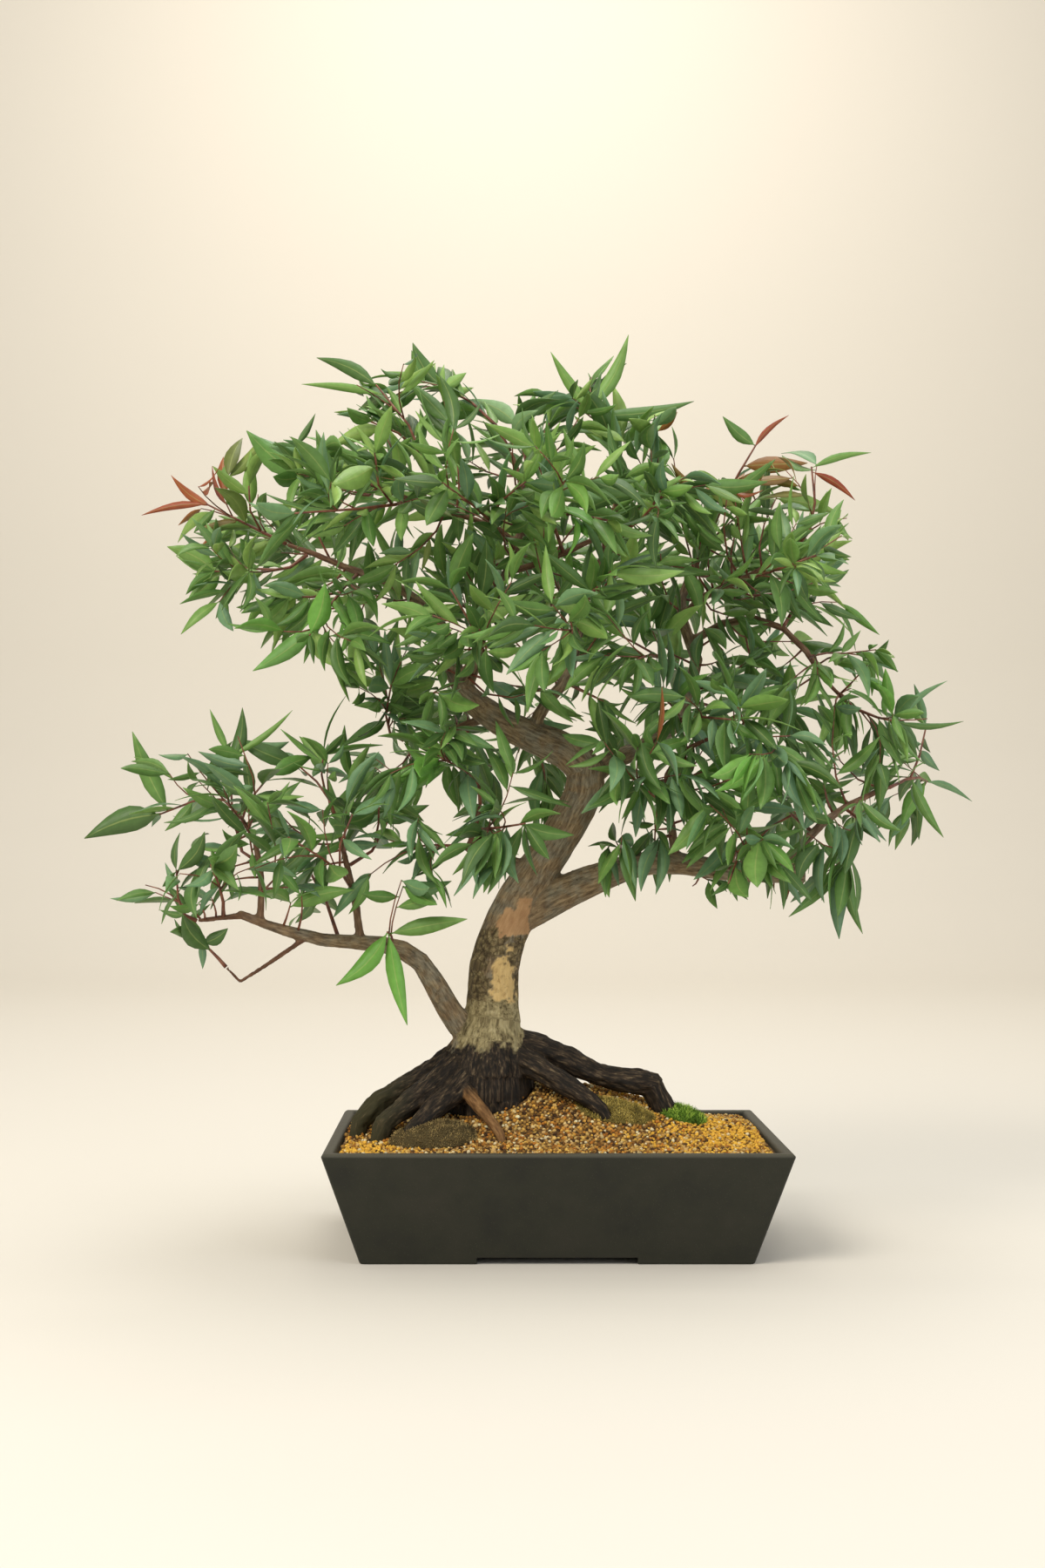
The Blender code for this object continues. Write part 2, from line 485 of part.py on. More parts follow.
def fuse(name, pieces, solver="MANIFOLD"):
    """Joins closed pieces that overlap into one body, by one union on a collection."""
    body, *rest = pieces
    body.name = name
    if rest:
        group = bpy.data.collections.new(name + "_pieces")
        bpy.context.scene.collection.children.link(group)
        for piece in rest:
            cutters.objects.unlink(piece)
            group.objects.link(piece)
        boolean(body, "UNION", group, solver)
        apply_modifiers(body)
        for piece in rest:
            bpy.data.meshes.remove(piece.data)
        bpy.data.collections.remove(group)
    return body


def smoothed(route):
    """The route's points, with one more on the smooth curve between two points where the wood is thick."""
    points = []
    for i, point in enumerate(route[:-1]):
        before = route[max(i - 1, 0)]
        after = route[i + 1]
        beyond = route[min(i + 2, len(route) - 1)]
        points.append(point)
        if min(point[3], after[3]) > SMOOTHED_RADIUS:
            middle = [(9 * (b + c) - a - d) / 16 for a, b, c, d in zip(before, point, after, beyond)]
            points.append(tuple(middle))
    points.append(route[-1])
    return points


def grown(route, by):
    """The route with larger radii, and as much longer at both ends."""
    points = [Vector(point[:3]) for point in route]
    points[0] -= (points[1] - points[0]).normalized() * by
    points[-1] += (points[-1] - points[-2]).normalized() * by
    return [(*point, source[3] + by) for point, source in zip(points, route)]


def tube(name, route, sides):
    """A closed tube along a route of (x, y, z, radius) points, made as a curve and turned into a mesh."""
    curve = bpy.data.curves.new(name, "CURVE")
    curve.dimensions = "3D"
    curve.bevel_depth = 1.0
    curve.bevel_resolution = (sides - 4) // 2
    curve.use_fill_caps = True
    spline = curve.splines.new("POLY")
    spline.points.add(len(route) - 1)
    for place, point in zip(spline.points, route):
        place.co = (*point[:3], 1.0)
        place.radius = point[3]
    obj = new_object(name, curve, cutters)
    bpy.context.view_layer.update()
    graph = bpy.context.evaluated_depsgraph_get()
    mesh = bpy.data.meshes.new_from_object(obj.evaluated_get(graph))
    place = obj.matrix_world.copy()
    bpy.data.objects.remove(obj)
    bpy.data.curves.remove(curve)
    bm = bmesh.new()
    bm.from_mesh(mesh)
    bmesh.ops.remove_doubles(bm, verts=bm.verts, dist=0.00001)
    face_outwards(bm)
    bm.to_mesh(mesh)
    bm.free()
    made = as_cutter(new_object(name, mesh, cutters))
    made.matrix_world = place
    return made


def sides_of(route):
    thickest = max(point[3] for point in route)
    if thickest > 2 * SMOOTHED_RADIUS:
        return TRUNK_SIDES
    return LIMB_SIDES if thickest > THIN_RADIUS else THIN_SIDES


def half_size(height, inset):
    """Half length and half depth of the pot's sloping walls at a height, less an inset."""
    slope = POT_TAPER * (RIM_EDGE - height) / RIM_EDGE
    return POT_LENGTH / 2 - slope - inset, POT_DEPTH / 2 - slope - inset


def sloped_block(name, levels, corner_round):
    """A block with sloping sides. A level is (height, half length, half depth), from the bottom up."""
    bm = bmesh.new()
    bmesh.ops.create_cube(bm, size=2.0)
    for vertex in bm.verts:
        height, along, across = levels[1] if vertex.co.z > 0 else levels[0]
        vertex.co = (vertex.co.x * along, vertex.co.y * across, height)
    corners = [edge for edge in bm.edges if edge.verts[0].co.z != edge.verts[1].co.z]
    if corner_round > 0:
        bmesh.ops.bevel(
            bm, geom=corners, offset=corner_round, segments=2, profile=0.5, affect="EDGES", material=-1
        )
    bm.normal_update()
    top = max(bm.faces, key=lambda face: face.normal.z)
    for below, level in zip(levels[1:], levels[2:]):
        drawn = bmesh.ops.extrude_face_region(bm, geom=[top])["geom"]
        bmesh.ops.delete(bm, geom=[top], context="FACES_ONLY")
        for vertex in (item for item in drawn if isinstance(item, bmesh.types.BMVert)):
            vertex.co.x += (level[1] - below[1]) * (1 if vertex.co.x > 0 else -1)
            vertex.co.y += (level[2] - below[2]) * (1 if vertex.co.y > 0 else -1)
            vertex.co.z = level[0]
        top = next(item for item in drawn if isinstance(item, bmesh.types.BMFace))
    face_outwards(bm)
    mesh = bpy.data.meshes.new(name)
    bm.to_mesh(mesh)
    bm.free()
    return as_cutter(new_object(name, mesh, cutters))


def make_pot():
    """One fired body: a block tapered to its foot, hollowed from the rim down, then cut for feet and drains."""
    pot = sloped_block(
        "pot",
        [
            (0.0, *half_size(0.0, 0.0)),
            (RIM_EDGE, *half_size(RIM_EDGE, 0.0)),
            (POT_HEIGHT, *half_size(RIM_EDGE, RIM_ROUND)),
        ],
        CORNER_ROUND,
    )
    hollow_block = sloped_block(
        "pot_hollow",
        [
            (POT_FLOOR, *half_size(POT_FLOOR, POT_WALL)),
            (RIM_EDGE, *half_size(RIM_EDGE, POT_WALL)),
            (POT_HEIGHT + RIM_ROUND, *half_size(RIM_EDGE, POT_WALL - 2 * RIM_ROUND)),
        ],
        0.0,
    )
    boolean(pot, "DIFFERENCE", hollow_block)

    base_half = half_size(0.0, 0.0)
    recess = box(
        "foot_recess",
        (-base_half[0] + FOOT_STRIP, -base_half[1] + FOOT_STRIP, -FOOT_HEIGHT),
        (base_half[0] - FOOT_STRIP, base_half[1] - FOOT_STRIP, FOOT_HEIGHT),
    )
    long_slot = box(
        "long_side_slot", (-LONG_SLOT / 2, -POT_DEPTH, -FOOT_HEIGHT), (LONG_SLOT / 2, POT_DEPTH, FOOT_HEIGHT)
    )
    short_slot = box(
        "short_side_slot",
        (-POT_LENGTH, -SHORT_SLOT / 2, -FOOT_HEIGHT),
        (POT_LENGTH, SHORT_SLOT / 2, FOOT_HEIGHT),
    )
    for cutter in (recess, long_slot, short_slot):
        boolean(pot, "DIFFERENCE", cutter)
    for side in (-1, 1):
        bpy.ops.mesh.primitive_cylinder_add(
            vertices=DRAIN_SIDES,
            radius=DRAIN_DIAMETER / 2,
            depth=POT_FLOOR * 3,
            location=(side * DRAIN_SPACING / 2, 0.0, POT_FLOOR / 2),
        )
        drain = bpy.context.active_object
        drain.name = f"drain_{'left' if side < 0 else 'right'}"
        for collection in list(drain.users_collection):
            collection.objects.unlink(drain)
        cutters.objects.link(as_cutter(drain))
        boolean(pot, "DIFFERENCE", drain)
    return finish(pot, "pot", material("stoneware", "#35332b", 0.8), smooth_angle=35)


def make_screens():
    """Open plastic mesh over each drainage hole: a grid of cells, each inset and opened, then given thickness."""
    plastic = material("screen_plastic", "#1f2a22", 0.5)
    for side, name in ((-1, "drain_screen_left"), (1, "drain_screen_right")):
        bm = bmesh.new()
        bmesh.ops.create_grid(bm, x_segments=SCREEN_CELLS, y_segments=SCREEN_CELLS, size=SCREEN_SIDE / 2)
        cells = list(bm.faces)
        bmesh.ops.inset_individual(bm, faces=cells, thickness=SCREEN_BAR / 2, use_even_offset=True)
        bmesh.ops.delete(bm, geom=cells, context="FACES_ONLY")
        place = (side * DRAIN_SPACING / 2, 0.0, POT_FLOOR + GAP)
        bmesh.ops.translate(bm, vec=place, verts=bm.verts)
        mesh = bpy.data.meshes.new(name)
        bm.to_mesh(mesh)
        bm.free()
        screen = new_object(name, mesh, cutters)
        thickness = screen.modifiers.new("thickness", "SOLIDIFY")
        thickness.thickness = SCREEN_THICKNESS
        thickness.offset = 1.0
        finish(screen, name, plastic)


def soil_height(x, y):
    """Level at the walls, and a mound round the roots."""
    mound = ((x - MOUND_CENTRE[0]) / MOUND_SPREAD[0]) ** 2 + ((y - MOUND_CENTRE[1]) / MOUND_SPREAD[1]) ** 2
    return POT_HEIGHT - SOIL_BELOW_RIM + MOUND_RISE * math.exp(-mound)


def soil_body(name, rise=0.0):
    """The soil as one block: a heaped grid, its edge drawn down the pot's walls and closed at the floor."""
    top_half = half_size(POT_HEIGHT - SOIL_BELOW_RIM, POT_WALL + GAP)
    floor_half = half_size(POT_FLOOR + GAP, POT_WALL + GAP)
    bm = bmesh.new()
    bmesh.ops.create_grid(bm, x_segments=SOIL_CELLS[0], y_segments=SOIL_CELLS[1], size=1.0)
    for vertex in bm.verts:
        x = vertex.co.x * top_half[0]
        y = vertex.co.y * top_half[1]
        on_edge = max(abs(vertex.co.x), abs(vertex.co.y)) > 0.999
        height = POT_HEIGHT - SOIL_BELOW_RIM if on_edge else soil_height(x, y)
        vertex.co = (x, y, height + rise)
    edge = [item for item in bm.edges if item.is_boundary]
    drawn = bmesh.ops.extrude_edge_only(bm, edges=edge)
    lower = [item for item in drawn["geom"] if isinstance(item, bmesh.types.BMVert)]
    for vertex in lower:
        vertex.co.x *= floor_half[0] / top_half[0]
        vertex.co.y *= floor_half[1] / top_half[1]
        vertex.co.z = POT_FLOOR + GAP
    bmesh.ops.holes_fill(bm, edges=[item for item in bm.edges if item.is_boundary], sides=0)
    bmesh.ops.triangulate(bm, faces=bm.faces)
    face_outwards(bm)
    mesh = bpy.data.meshes.new(name)
    bm.to_mesh(mesh)
    bm.free()
    return as_cutter(new_object(name, mesh, cutters))


def make_wood():
    """Roots, trunk and limbs grown as one piece."""
    grown_up = {"trunk": TRUNK, **LIMBS}
    pieces = [tube(name, smoothed(route), sides_of(route)) for name, route in grown_up.items()]
    pieces += [tube(name, route, sides_of(route)) for name, route in ROOTS.items()]
    wood = fuse("tree_wood", pieces)
    return finish(wood, "tree_wood", material("bark", "#7c6650", 0.85), smooth_angle=50)


def make_root_hollow():
    """The roots and the foot of the trunk, grown by the gap: what the soil and the moss leave free."""
    pieces = [tube("hollow_trunk", grown(smoothed(TRUNK[:4]), ROOT_CLEARANCE), TRUNK_SIDES)]
    pieces += [
        tube("hollow_" + name, grown(route, ROOT_CLEARANCE), sides_of(route)) for name, route in ROOTS.items()
    ]
    return fuse("root_hollow", pieces)


def make_soil(root_hollow):
    soil = soil_body("soil")
    pocket_top = POT_FLOOR + 2 * GAP + SCREEN_THICKNESS + GAP
    for side in (-1, 1):
        middle = side * DRAIN_SPACING / 2
        reach = SCREEN_SIDE / 2 + GAP
        pocket = box(
            f"screen_pocket_{'left' if side < 0 else 'right'}",
            (middle - reach, -reach, 0.0),
            (middle + reach, reach, pocket_top),
        )
        boolean(soil, "DIFFERENCE", pocket)
    boolean(soil, "DIFFERENCE", root_hollow)
    apply_modifiers(soil)
    keep_largest_body(soil)
    return finish(soil, "soil", material("soil_grit", "#a8792f", 0.95), smooth_angle=40)


def make_moss(root_hollow):
    """Each cushion is a low dome that follows the soil under it and leaves the roots free."""
    raised_soil = soil_body("raised_soil", rise=ROOT_CLEARANCE)
    for name, centre, half_length, half_width, height, colour in MOSS_CUSHIONS:
        ground = soil_height(*centre)
        bm = bmesh.new()
        bmesh.ops.create_uvsphere(bm, u_segments=MOSS_SIDES, v_segments=MOSS_RINGS, radius=1.0)
        for vertex in bm.verts:
            x = centre[0] + vertex.co.x * half_length
            y = centre[1] + vertex.co.y * half_width
            slope = soil_height(x, y) - ground
            vertex.co = (x, y, ground + slope + vertex.co.z * height)
        mesh = bpy.data.meshes.new(name)
        bm.to_mesh(mesh)
        bm.free()
        moss = new_object(name, mesh, cutters)
        boolean(moss, "DIFFERENCE", raised_soil)
        boolean(moss, "DIFFERENCE", root_hollow)
        apply_modifiers(moss)
        keep_largest_body(moss)
        finish(moss, name, material(name, colour, 0.95), smooth_angle=60)


def quadratic(start, control, end, share):
    return start.lerp(control, share).lerp(control.lerp(end, share), share)


def point_along(route, share):
    """The point, direction and radius at a share of a route's length."""
    points = [Vector(point[:3]) for point in route]
    lengths = [(b - a).length for a, b in zip(points, points[1:])]
    left = share * sum(lengths)
    for i, length in enumerate(lengths):
        if left <= length or i == len(lengths) - 1:
            part = min(left / length, 1.0)
            place = points[i].lerp(points[i + 1], part)
            radius = route[i][3] + (route[i + 1][3] - route[i][3]) * part
            return place, (points[i + 1] - points[i]).normalized(), radius
        left -= length


def across(direction):
    """A vector square to a direction, level where it can be."""
    level = direction.cross(Vector((0, 0, 1)))
    if level.length < 0.1:
        level = direction.cross(Vector((0, 1, 0)))
    return level.normalized()


def prism(sections, tip=None):
    """A three-sided loft. A section is (centre, sideways, upward, half width, thickness)."""
    corners = []
    for centre, sideways, upward, half_width, thickness in sections:
        corners.append(centre + sideways * half_width + upward * thickness / 3)
        corners.append(centre - sideways * half_width + upward * thickness / 3)
        corners.append(centre - upward * thickness * 2 / 3)
    faces = [(0, 1, 2)]
    for start in range(0, len(corners) - 3, 3):
        for i in range(3):
            j = (i + 1) % 3
            faces.append((start + i, start + 3 + i, start + 3 + j, start + j))
    last = len(corners) - 3
    if tip is None:
        faces.append((last + 2, last + 1, last))
    else:
        corners.append(tip)
        faces += [(last + i, last + 3, last + (i + 1) % 3) for i in range(3)]
    return corners, faces


def blade(root, tip, roll, width, first=0.0, spare=0.0):
    """A lance-shaped leaf from root to tip, arched, and turned by the roll about its length."""
    along = (tip - root).normalized()
    length = (tip - root).length
    sideways = Matrix.Rotation(roll, 3, along) @ across(along)
    upward = sideways.cross(along)
    sections = []
    for share, breadth, depth in LEAF_SECTIONS:
        share = max(share, first)
        centre = root.lerp(tip, share) + upward * length * LEAF_ARCH * math.sin(math.pi * share)
        half_width = max(width * breadth, LEAST_LEAF_WIDTH) / 2 + spare
        sections.append((centre, sideways, upward, half_width, BLADE_THICKNESS * depth + 2 * spare))
    return prism(sections, tip + along * spare)


def rod(route, first=0.0, spare=0.0):
    """A twig's outer shape with some spare room round it, from a share of its length on."""
    begin = point_along(route, first)[0]
    points = [begin] + [Vector(point[:3]) for point in route[1:]]
    sections = []
    for i, centre in enumerate(points):
        direction = (points[min(i + 1, len(points) - 1)] - points[max(i - 1, 0)]).normalized()
        sideways = across(direction)
        reach = 1.8 * (route[i][3] + spare)
        sections.append((centre, sideways, sideways.cross(direction), reach, 1.8 * reach))
    return prism(sections)


class Room:
    """Keeps the shapes that stand in the crown, and says whether another is clear of them."""

    def __init__(self, wood):
        self.wood = BVHTree.FromPolygons(
            [vertex.co for vertex in wood.data.vertices], [face.vertices for face in wood.data.polygons]
        )
        self.taken = []

    def tree_and_box(self, shape):
        corners, faces = shape
        low = Vector([min(corner[axis] for corner in corners) for axis in range(3)])
        high = Vector([max(corner[axis] for corner in corners) for axis in range(3)])
        return BVHTree.FromPolygons(corners, faces), low, high

    def is_clear(self, spray, twig, whole, outer, seated=False):
        """The whole shape against other sprays and the wood, and its outer part against its own spray.

        A twig that is seated on the wood is tried against it with its outer part alone.
        """
        whole_tree, low, high = self.tree_and_box(whole)
        outer_tree = self.tree_and_box(outer)[0]
        if (outer_tree if seated else whole_tree).overlap(self.wood):
            return False
        for other_spray, other_twig, other_whole, other_outer, other_low, other_high in self.taken:
            if any(low[a] > other_high[a] or high[a] < other_low[a] for a in range(3)):
                continue
            if other_spray != spray:
                if whole_tree.overlap(other_whole):
                    return False
            elif other_twig != twig and outer_tree.overlap(other_outer):
                return False
        return True

    def take(self, spray, twig, whole, outer):
        whole_tree, low, high = self.tree_and_box(whole)
        outer_tree = self.tree_and_box(outer)[0]
        self.taken.append((spray, twig, whole_tree, outer_tree, low, high))


def seat(room, limb, share, tip):
    """Where a spray's main twig starts: off the end of its limb, or square off the bark towards its tip."""
    place, direction, _ = point_along(limb, share)
    if share >= 1.0:
        return place + direction * GAP, direction
    towards = tip - place
    towards -= direction * towards.dot(direction)
    surface, normal, _, _ = room.wood.ray_cast(place, towards.normalized())
    return surface + normal * GAP, normal


def in_crown(point):
    """Whether a point lies within the crown's depth and outline."""
    if abs(point.y) > CROWN_DEPTH / 2:
        return False
    spread = 1 + CROWN_SPREAD * point.y
    x = CROWN_CENTRE[0] + (point.x - CROWN_CENTRE[0]) / spread
    z = CROWN_CENTRE[1] + (point.z - CROWN_CENTRE[1]) / spread
    inside = False
    for (x1, z1), (x2, z2) in zip(CROWN_OUTLINE, CROWN_OUTLINE[1:] + CROWN_OUTLINE[:1]):
        if (z1 > z) != (z2 > z) and x < x1 + (z - z1) / (z2 - z1) * (x2 - x1):
            inside = not inside
    return inside


def grow_twigs(room):
    """The main twig and side twigs of every spray, each clear of the wood and of the others."""
    routes = {"trunk": TRUNK, **LIMBS}
    sprays = {}
    for name, limb, share, tip, side_twigs, droop in SPRAYS:
        main = None
        for attempt in range(TRIES):
            draw = random.Random(f"{name} main {attempt}")
            wander = TIP_WANDER * attempt
            along = share if share == 1.0 else share + SEAT_STEP * attempt * (-1) ** attempt
            base, normal = seat(room, routes[limb], along, Vector(tip))
            end = Vector(tip) + Vector([draw.uniform(-wander, wander) for _ in range(3)])
            reach = (end - base).length
            control = base + normal * reach * SQUARE_SHARE + Vector((0, 0, TWIG_LIFT * reach))
            lean = normal.angle(quadratic(base, control, end, 1 / TWIG_SPANS) - base)
            base += normal * SPRAY_TWIG_RADIUS * math.sin(lean)
            radii = (SPRAY_TWIG_RADIUS, TWIG_END_RADIUS)
            main = twig_route(base, control, end, radii, TWIG_SPANS)
            whole = rod(main, TWIG_ROOTED, CLEARANCE)
            outer = rod(main, TWIG_ROOTED)
            if room.is_clear(name, 0, whole, outer, seated=True):
                break
        room.take(name, 0, rod(main), rod(main))
        twigs = [main]
        for number in range(1, side_twigs + 1):
            for attempt in range(TRIES):
                draw = random.Random(f"{name} side {number} {attempt}")
                root, direction, _ = point_along(main, draw.uniform(*SIDE_TWIG_STARTS))
                turn = Matrix.Rotation(draw.uniform(0, 2 * math.pi), 3, direction)
                lean = turn @ across(direction)
                aim = (direction * 0.8 + lean + Vector((0, 0, 0.15))).normalized()
                reach = (Vector(tip) - base).length * SIDE_TWIG_SHARE * draw.uniform(0.85, 1.15)
                reach = min(max(reach, SIDE_TWIG_LENGTHS[0]), SIDE_TWIG_LENGTHS[1])
                end = root + aim * reach + Vector((0, 0, -SIDE_TWIG_SAG * droop * reach))
                control = root + (direction + aim).normalized() * reach * 0.5
                radii = (SIDE_TWIG_RADIUS, TWIG_END_RADIUS)
                side = twig_route(root, control, end, radii, SIDE_TWIG_SPANS)
                whole = rod(side, 0.0, CLEARANCE)
                outer = rod(side, SIDE_TWIG_ROOTED, CLEARANCE)
                if in_crown(end) and room.is_clear(name, number, whole, outer):
                    room.take(name, number, rod(side), rod(side, SIDE_TWIG_ROOTED))
                    twigs.append(side)
                    break
        sprays[name] = (twigs, droop)
    return sprays


def twig_route(start, control, end, radii, spans):
    points = []
    for i in range(spans + 1):
        share = i / spans
        radius = radii[0] + (radii[1] - radii[0]) * share
        points.append((*quadratic(start, control, end, share), radius))
    return points


def leaf_places(twig_number, length):
    """Shares of a twig's length where leaves sit: two near the end, and one to each side further back."""
    if twig_number > 0:
        return [0.98, 0.80, 0.55]
    return [0.985, 0.93, 0.72, 0.50] if length > 0.06 else [0.98, 0.86, 0.6]


def grow_leaves(room, sprays):
    """Leaves as (root, tip, roll, width) for each spray: first those of the outline, then pairs by rule."""
    leaves = {name: [] for name in sprays}
    for number, (name, share, tip, width) in enumerate(STANDOUT_LEAVES):
        root = point_along(sprays[name][0][0], share)[0]
        for attempt in range(TRIES):
            draw = random.Random(f"{name} standout {number} {attempt}")
            facing = roll_to_front((Vector(tip) - root).normalized())
            leaf = (root, Vector(tip), facing + draw.gauss(0.0, 0.1 + STANDOUT_TURN * attempt), width)
            if place_leaf(room, name, 0, leaf):
                leaves[name].append(leaf)
                break
    for name, (twigs, droop) in sprays.items():
        for twig_number, twig in enumerate(twigs):
            length = (Vector(twig[-1][:3]) - Vector(twig[0][:3])).length
            places = leaf_places(twig_number, length)
            if twig_number == 0:
                places = places[len(leaves[name]) :]
            for place_number, share in enumerate(places):
                for attempt in range(TRIES):
                    draw = random.Random(f"{name} leaf {twig_number} {place_number} {attempt}")
                    leaf = leaf_by_rule(draw, twig, share, place_number, droop)
                    if in_crown(leaf[1]) and place_leaf(room, name, twig_number, leaf):
                        leaves[name].append(leaf)
                        break
    return leaves


def roll_to_front(along):
    """The roll that turns the flat of a leaf with this direction to the front, its edge up."""
    level = across(along)
    upright = along.cross(Vector((0, 1, 0))).normalized()
    return math.atan2(level.cross(upright).dot(along), level.dot(upright))


def leaf_by_rule(draw, twig, share, place_number, droop):
    """A leaf to one side of its twig, which leans along the twig and droops."""
    root, direction, _ = point_along(twig, share)
    opposite = 1 if place_number % 2 else -1
    turn = Matrix.Rotation(draw.uniform(-0.9, 0.9) + place_number * 0.8, 3, direction)
    sideways = turn @ across(direction) * opposite
    forward = draw.uniform(0.8, 1.5) if share > 0.9 else draw.uniform(0.4, 1.0)
    aim = direction * forward + sideways * draw.uniform(0.5, 1.0)
    aim += Vector((0, 0, -1.2 * droop * draw.uniform(0.5, 1.2)))
    length = draw.uniform(*LEAF_LENGTHS)
    width = length * draw.uniform(*LEAF_WIDTH_SHARES)
    hangs = draw.random() < EDGE_UP_SHARE
    roll = draw.gauss(roll_to_front(aim.normalized()) if hangs else 0.0, 0.7)
    return root, root + aim.normalized() * length, roll, width


def place_leaf(room, spray, twig_number, leaf):
    """Takes the leaf's place in the crown if nothing but its own twig is in its way."""
    root, tip, roll, width = leaf
    whole = blade(root, tip, roll, width, 0.0, CLEARANCE)
    outer = blade(root, tip, roll, width, LEAF_ROOTED, CLEARANCE)
    if not room.is_clear(spray, twig_number, whole, outer):
        return False
    room.take(spray, None, blade(root, tip, roll, width), blade(root, tip, roll, width, LEAF_ROOTED))
    return True


def leaf_object(name, leaf):
    corners, faces = blade(*leaf)
    mesh = bpy.data.meshes.new(name)
    mesh.from_pydata(corners, [], faces)
    bm = bmesh.new()
    bm.from_mesh(mesh)
    face_outwards(bm)
    bm.to_mesh(mesh)
    bm.free()
    return as_cutter(new_object(name, mesh, cutters))


def make_sprays(wood):
    """Every spray's twigs and leaves, fused into one body that is seated on its limb."""
    room = Room(wood)
    sprays = grow_twigs(room)
    leaves = grow_leaves(room, sprays)
    foliage = material("leaf", "#3f6b35", 0.5)
    for name, (twigs, _) in sprays.items():
        pieces = [tube(f"{name}_twig_{i}", twig, 4) for i, twig in enumerate(twigs)]
        pieces += [leaf_object(f"{name}_leaf_{i}", leaf) for i, leaf in enumerate(leaves[name])]
        spray = fuse("spray_" + name, pieces)
        finish(spray, "spray_" + name, foliage)


remove_everything()
parts = make_collection("eucalyptus_bonsai")
cutters = make_collection("cutters", hidden=True)
make_pot()
make_screens()
tree_wood = make_wood()
hollow = make_root_hollow()
make_soil(hollow)
make_moss(hollow)
make_sprays(tree_wood)
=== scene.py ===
"""The looks of a eucalyptus bonsai in its stoneware pot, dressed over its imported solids.

Units are metres and +Z is up. The pot's long side runs along X and the front faces -Y.
"""

import math
import random

import bmesh
import bpy
import numpy as np
from mathutils import Matrix, Vector, noise
from mathutils.bvhtree import BVHTree


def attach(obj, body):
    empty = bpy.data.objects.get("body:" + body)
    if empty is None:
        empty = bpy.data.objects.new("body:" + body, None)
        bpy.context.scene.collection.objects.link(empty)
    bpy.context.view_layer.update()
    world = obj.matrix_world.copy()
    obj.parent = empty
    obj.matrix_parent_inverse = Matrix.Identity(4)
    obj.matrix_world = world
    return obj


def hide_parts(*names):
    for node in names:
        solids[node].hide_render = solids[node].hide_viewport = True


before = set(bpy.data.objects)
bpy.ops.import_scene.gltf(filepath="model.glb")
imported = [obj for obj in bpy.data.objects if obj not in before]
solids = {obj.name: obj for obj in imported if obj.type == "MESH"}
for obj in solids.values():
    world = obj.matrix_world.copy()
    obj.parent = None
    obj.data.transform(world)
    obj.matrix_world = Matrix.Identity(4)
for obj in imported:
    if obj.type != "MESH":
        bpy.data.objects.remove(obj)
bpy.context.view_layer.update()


# The pot. One piece of stoneware, built from slabs and fired without glaze to a matt olive charcoal. Its rim
# was softened with a wet sponge, which leaves it round, and it is paler in a band along the top. It stands on
# four corner feet.
POT_HEIGHT = 0.101
POT_EDGE_ROUND = 0.0011
POT_EDGE_STEPS = 3
# Faces that turn by less than the first angle are one face, and edges that turn by more than the second are
# rounded. Corners closer than a seam are one corner.
POT_FLAT_ANGLE = 1.5
POT_EDGE_ANGLE = 38
SEAM = 0.00002
# The paler band at the top of the rim: how far below the top it starts and is full, and how pale it is.
RIM_BAND = (0.0032, 0.0008)
RIM_PALENESS = 0.55


def colour(value):
    """Linear red, green, blue and alpha of an sRGB hex colour."""
    channels = [int(value[i : i + 2], 16) / 255 for i in (1, 3, 5)]
    return (*[c / 12.92 if c <= 0.04045 else ((c + 0.055) / 1.055) ** 2.4 for c in channels], 1.0)


def feed(tree, node, inputs):
    """Gives a shader node its inputs: a value, or the node (by its first output) or socket that feeds it."""
    for name, value in inputs.items():
        if isinstance(value, bpy.types.Node):
            value = value.outputs[0]
        if isinstance(value, bpy.types.NodeSocket):
            tree.links.new(value, node.inputs[name])
        else:
            node.inputs[name].default_value = value


def add(tree, kind, inputs=None, stops=(), **settings):
    """Adds a shader node with its inputs, a ramp's stops, and its settings."""
    node = tree.nodes.new(kind)
    for name, value in settings.items():
        setattr(node, name, value)
    feed(tree, node, inputs or {})
    if stops:
        elements = node.color_ramp.elements
        while len(elements) < len(stops):
            elements.new(1.0)
        for element, (place, value) in zip(elements, stops):
            element.position = place
            element.color = colour(value) if isinstance(value, str) else (value, value, value, 1.0)
    return node


def material(name):
    """A new material with its node tree, its shader and the object's own coordinates."""
    made = bpy.data.materials.new(name)
    made.use_nodes = True
    tree = made.node_tree
    place = add(tree, "ShaderNodeTexCoord").outputs["Object"]
    return made, tree, tree.nodes["Principled BSDF"], place


def merged(name, node):
    """A new object with a copy of a solid's mesh, its doubles merged."""
    bm = bmesh.new()
    bm.from_mesh(solids[node].data)
    bmesh.ops.remove_doubles(bm, verts=bm.verts, dist=SEAM)
    mesh = bpy.data.meshes.new(name)
    bm.to_mesh(mesh)
    bm.free()
    return shown(name, mesh)


def shown(name, shape):
    """A new object in the scene, of a mesh, a light or a lens."""
    piece = bpy.data.objects.new(name, shape)
    bpy.context.scene.collection.objects.link(piece)
    return piece


def set_down(piece, made, slot, *nodes, sharp=None):
    """Gives a finished piece its material and shading, and its place in the part."""
    piece.data.materials.clear()
    piece.data.materials.append(made)
    piece.data.shade_smooth()
    if sharp is not None:
        piece.data.set_sharp_from_angle(angle=math.radians(sharp))
    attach(piece, "root")
    if nodes:
        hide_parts(*nodes)


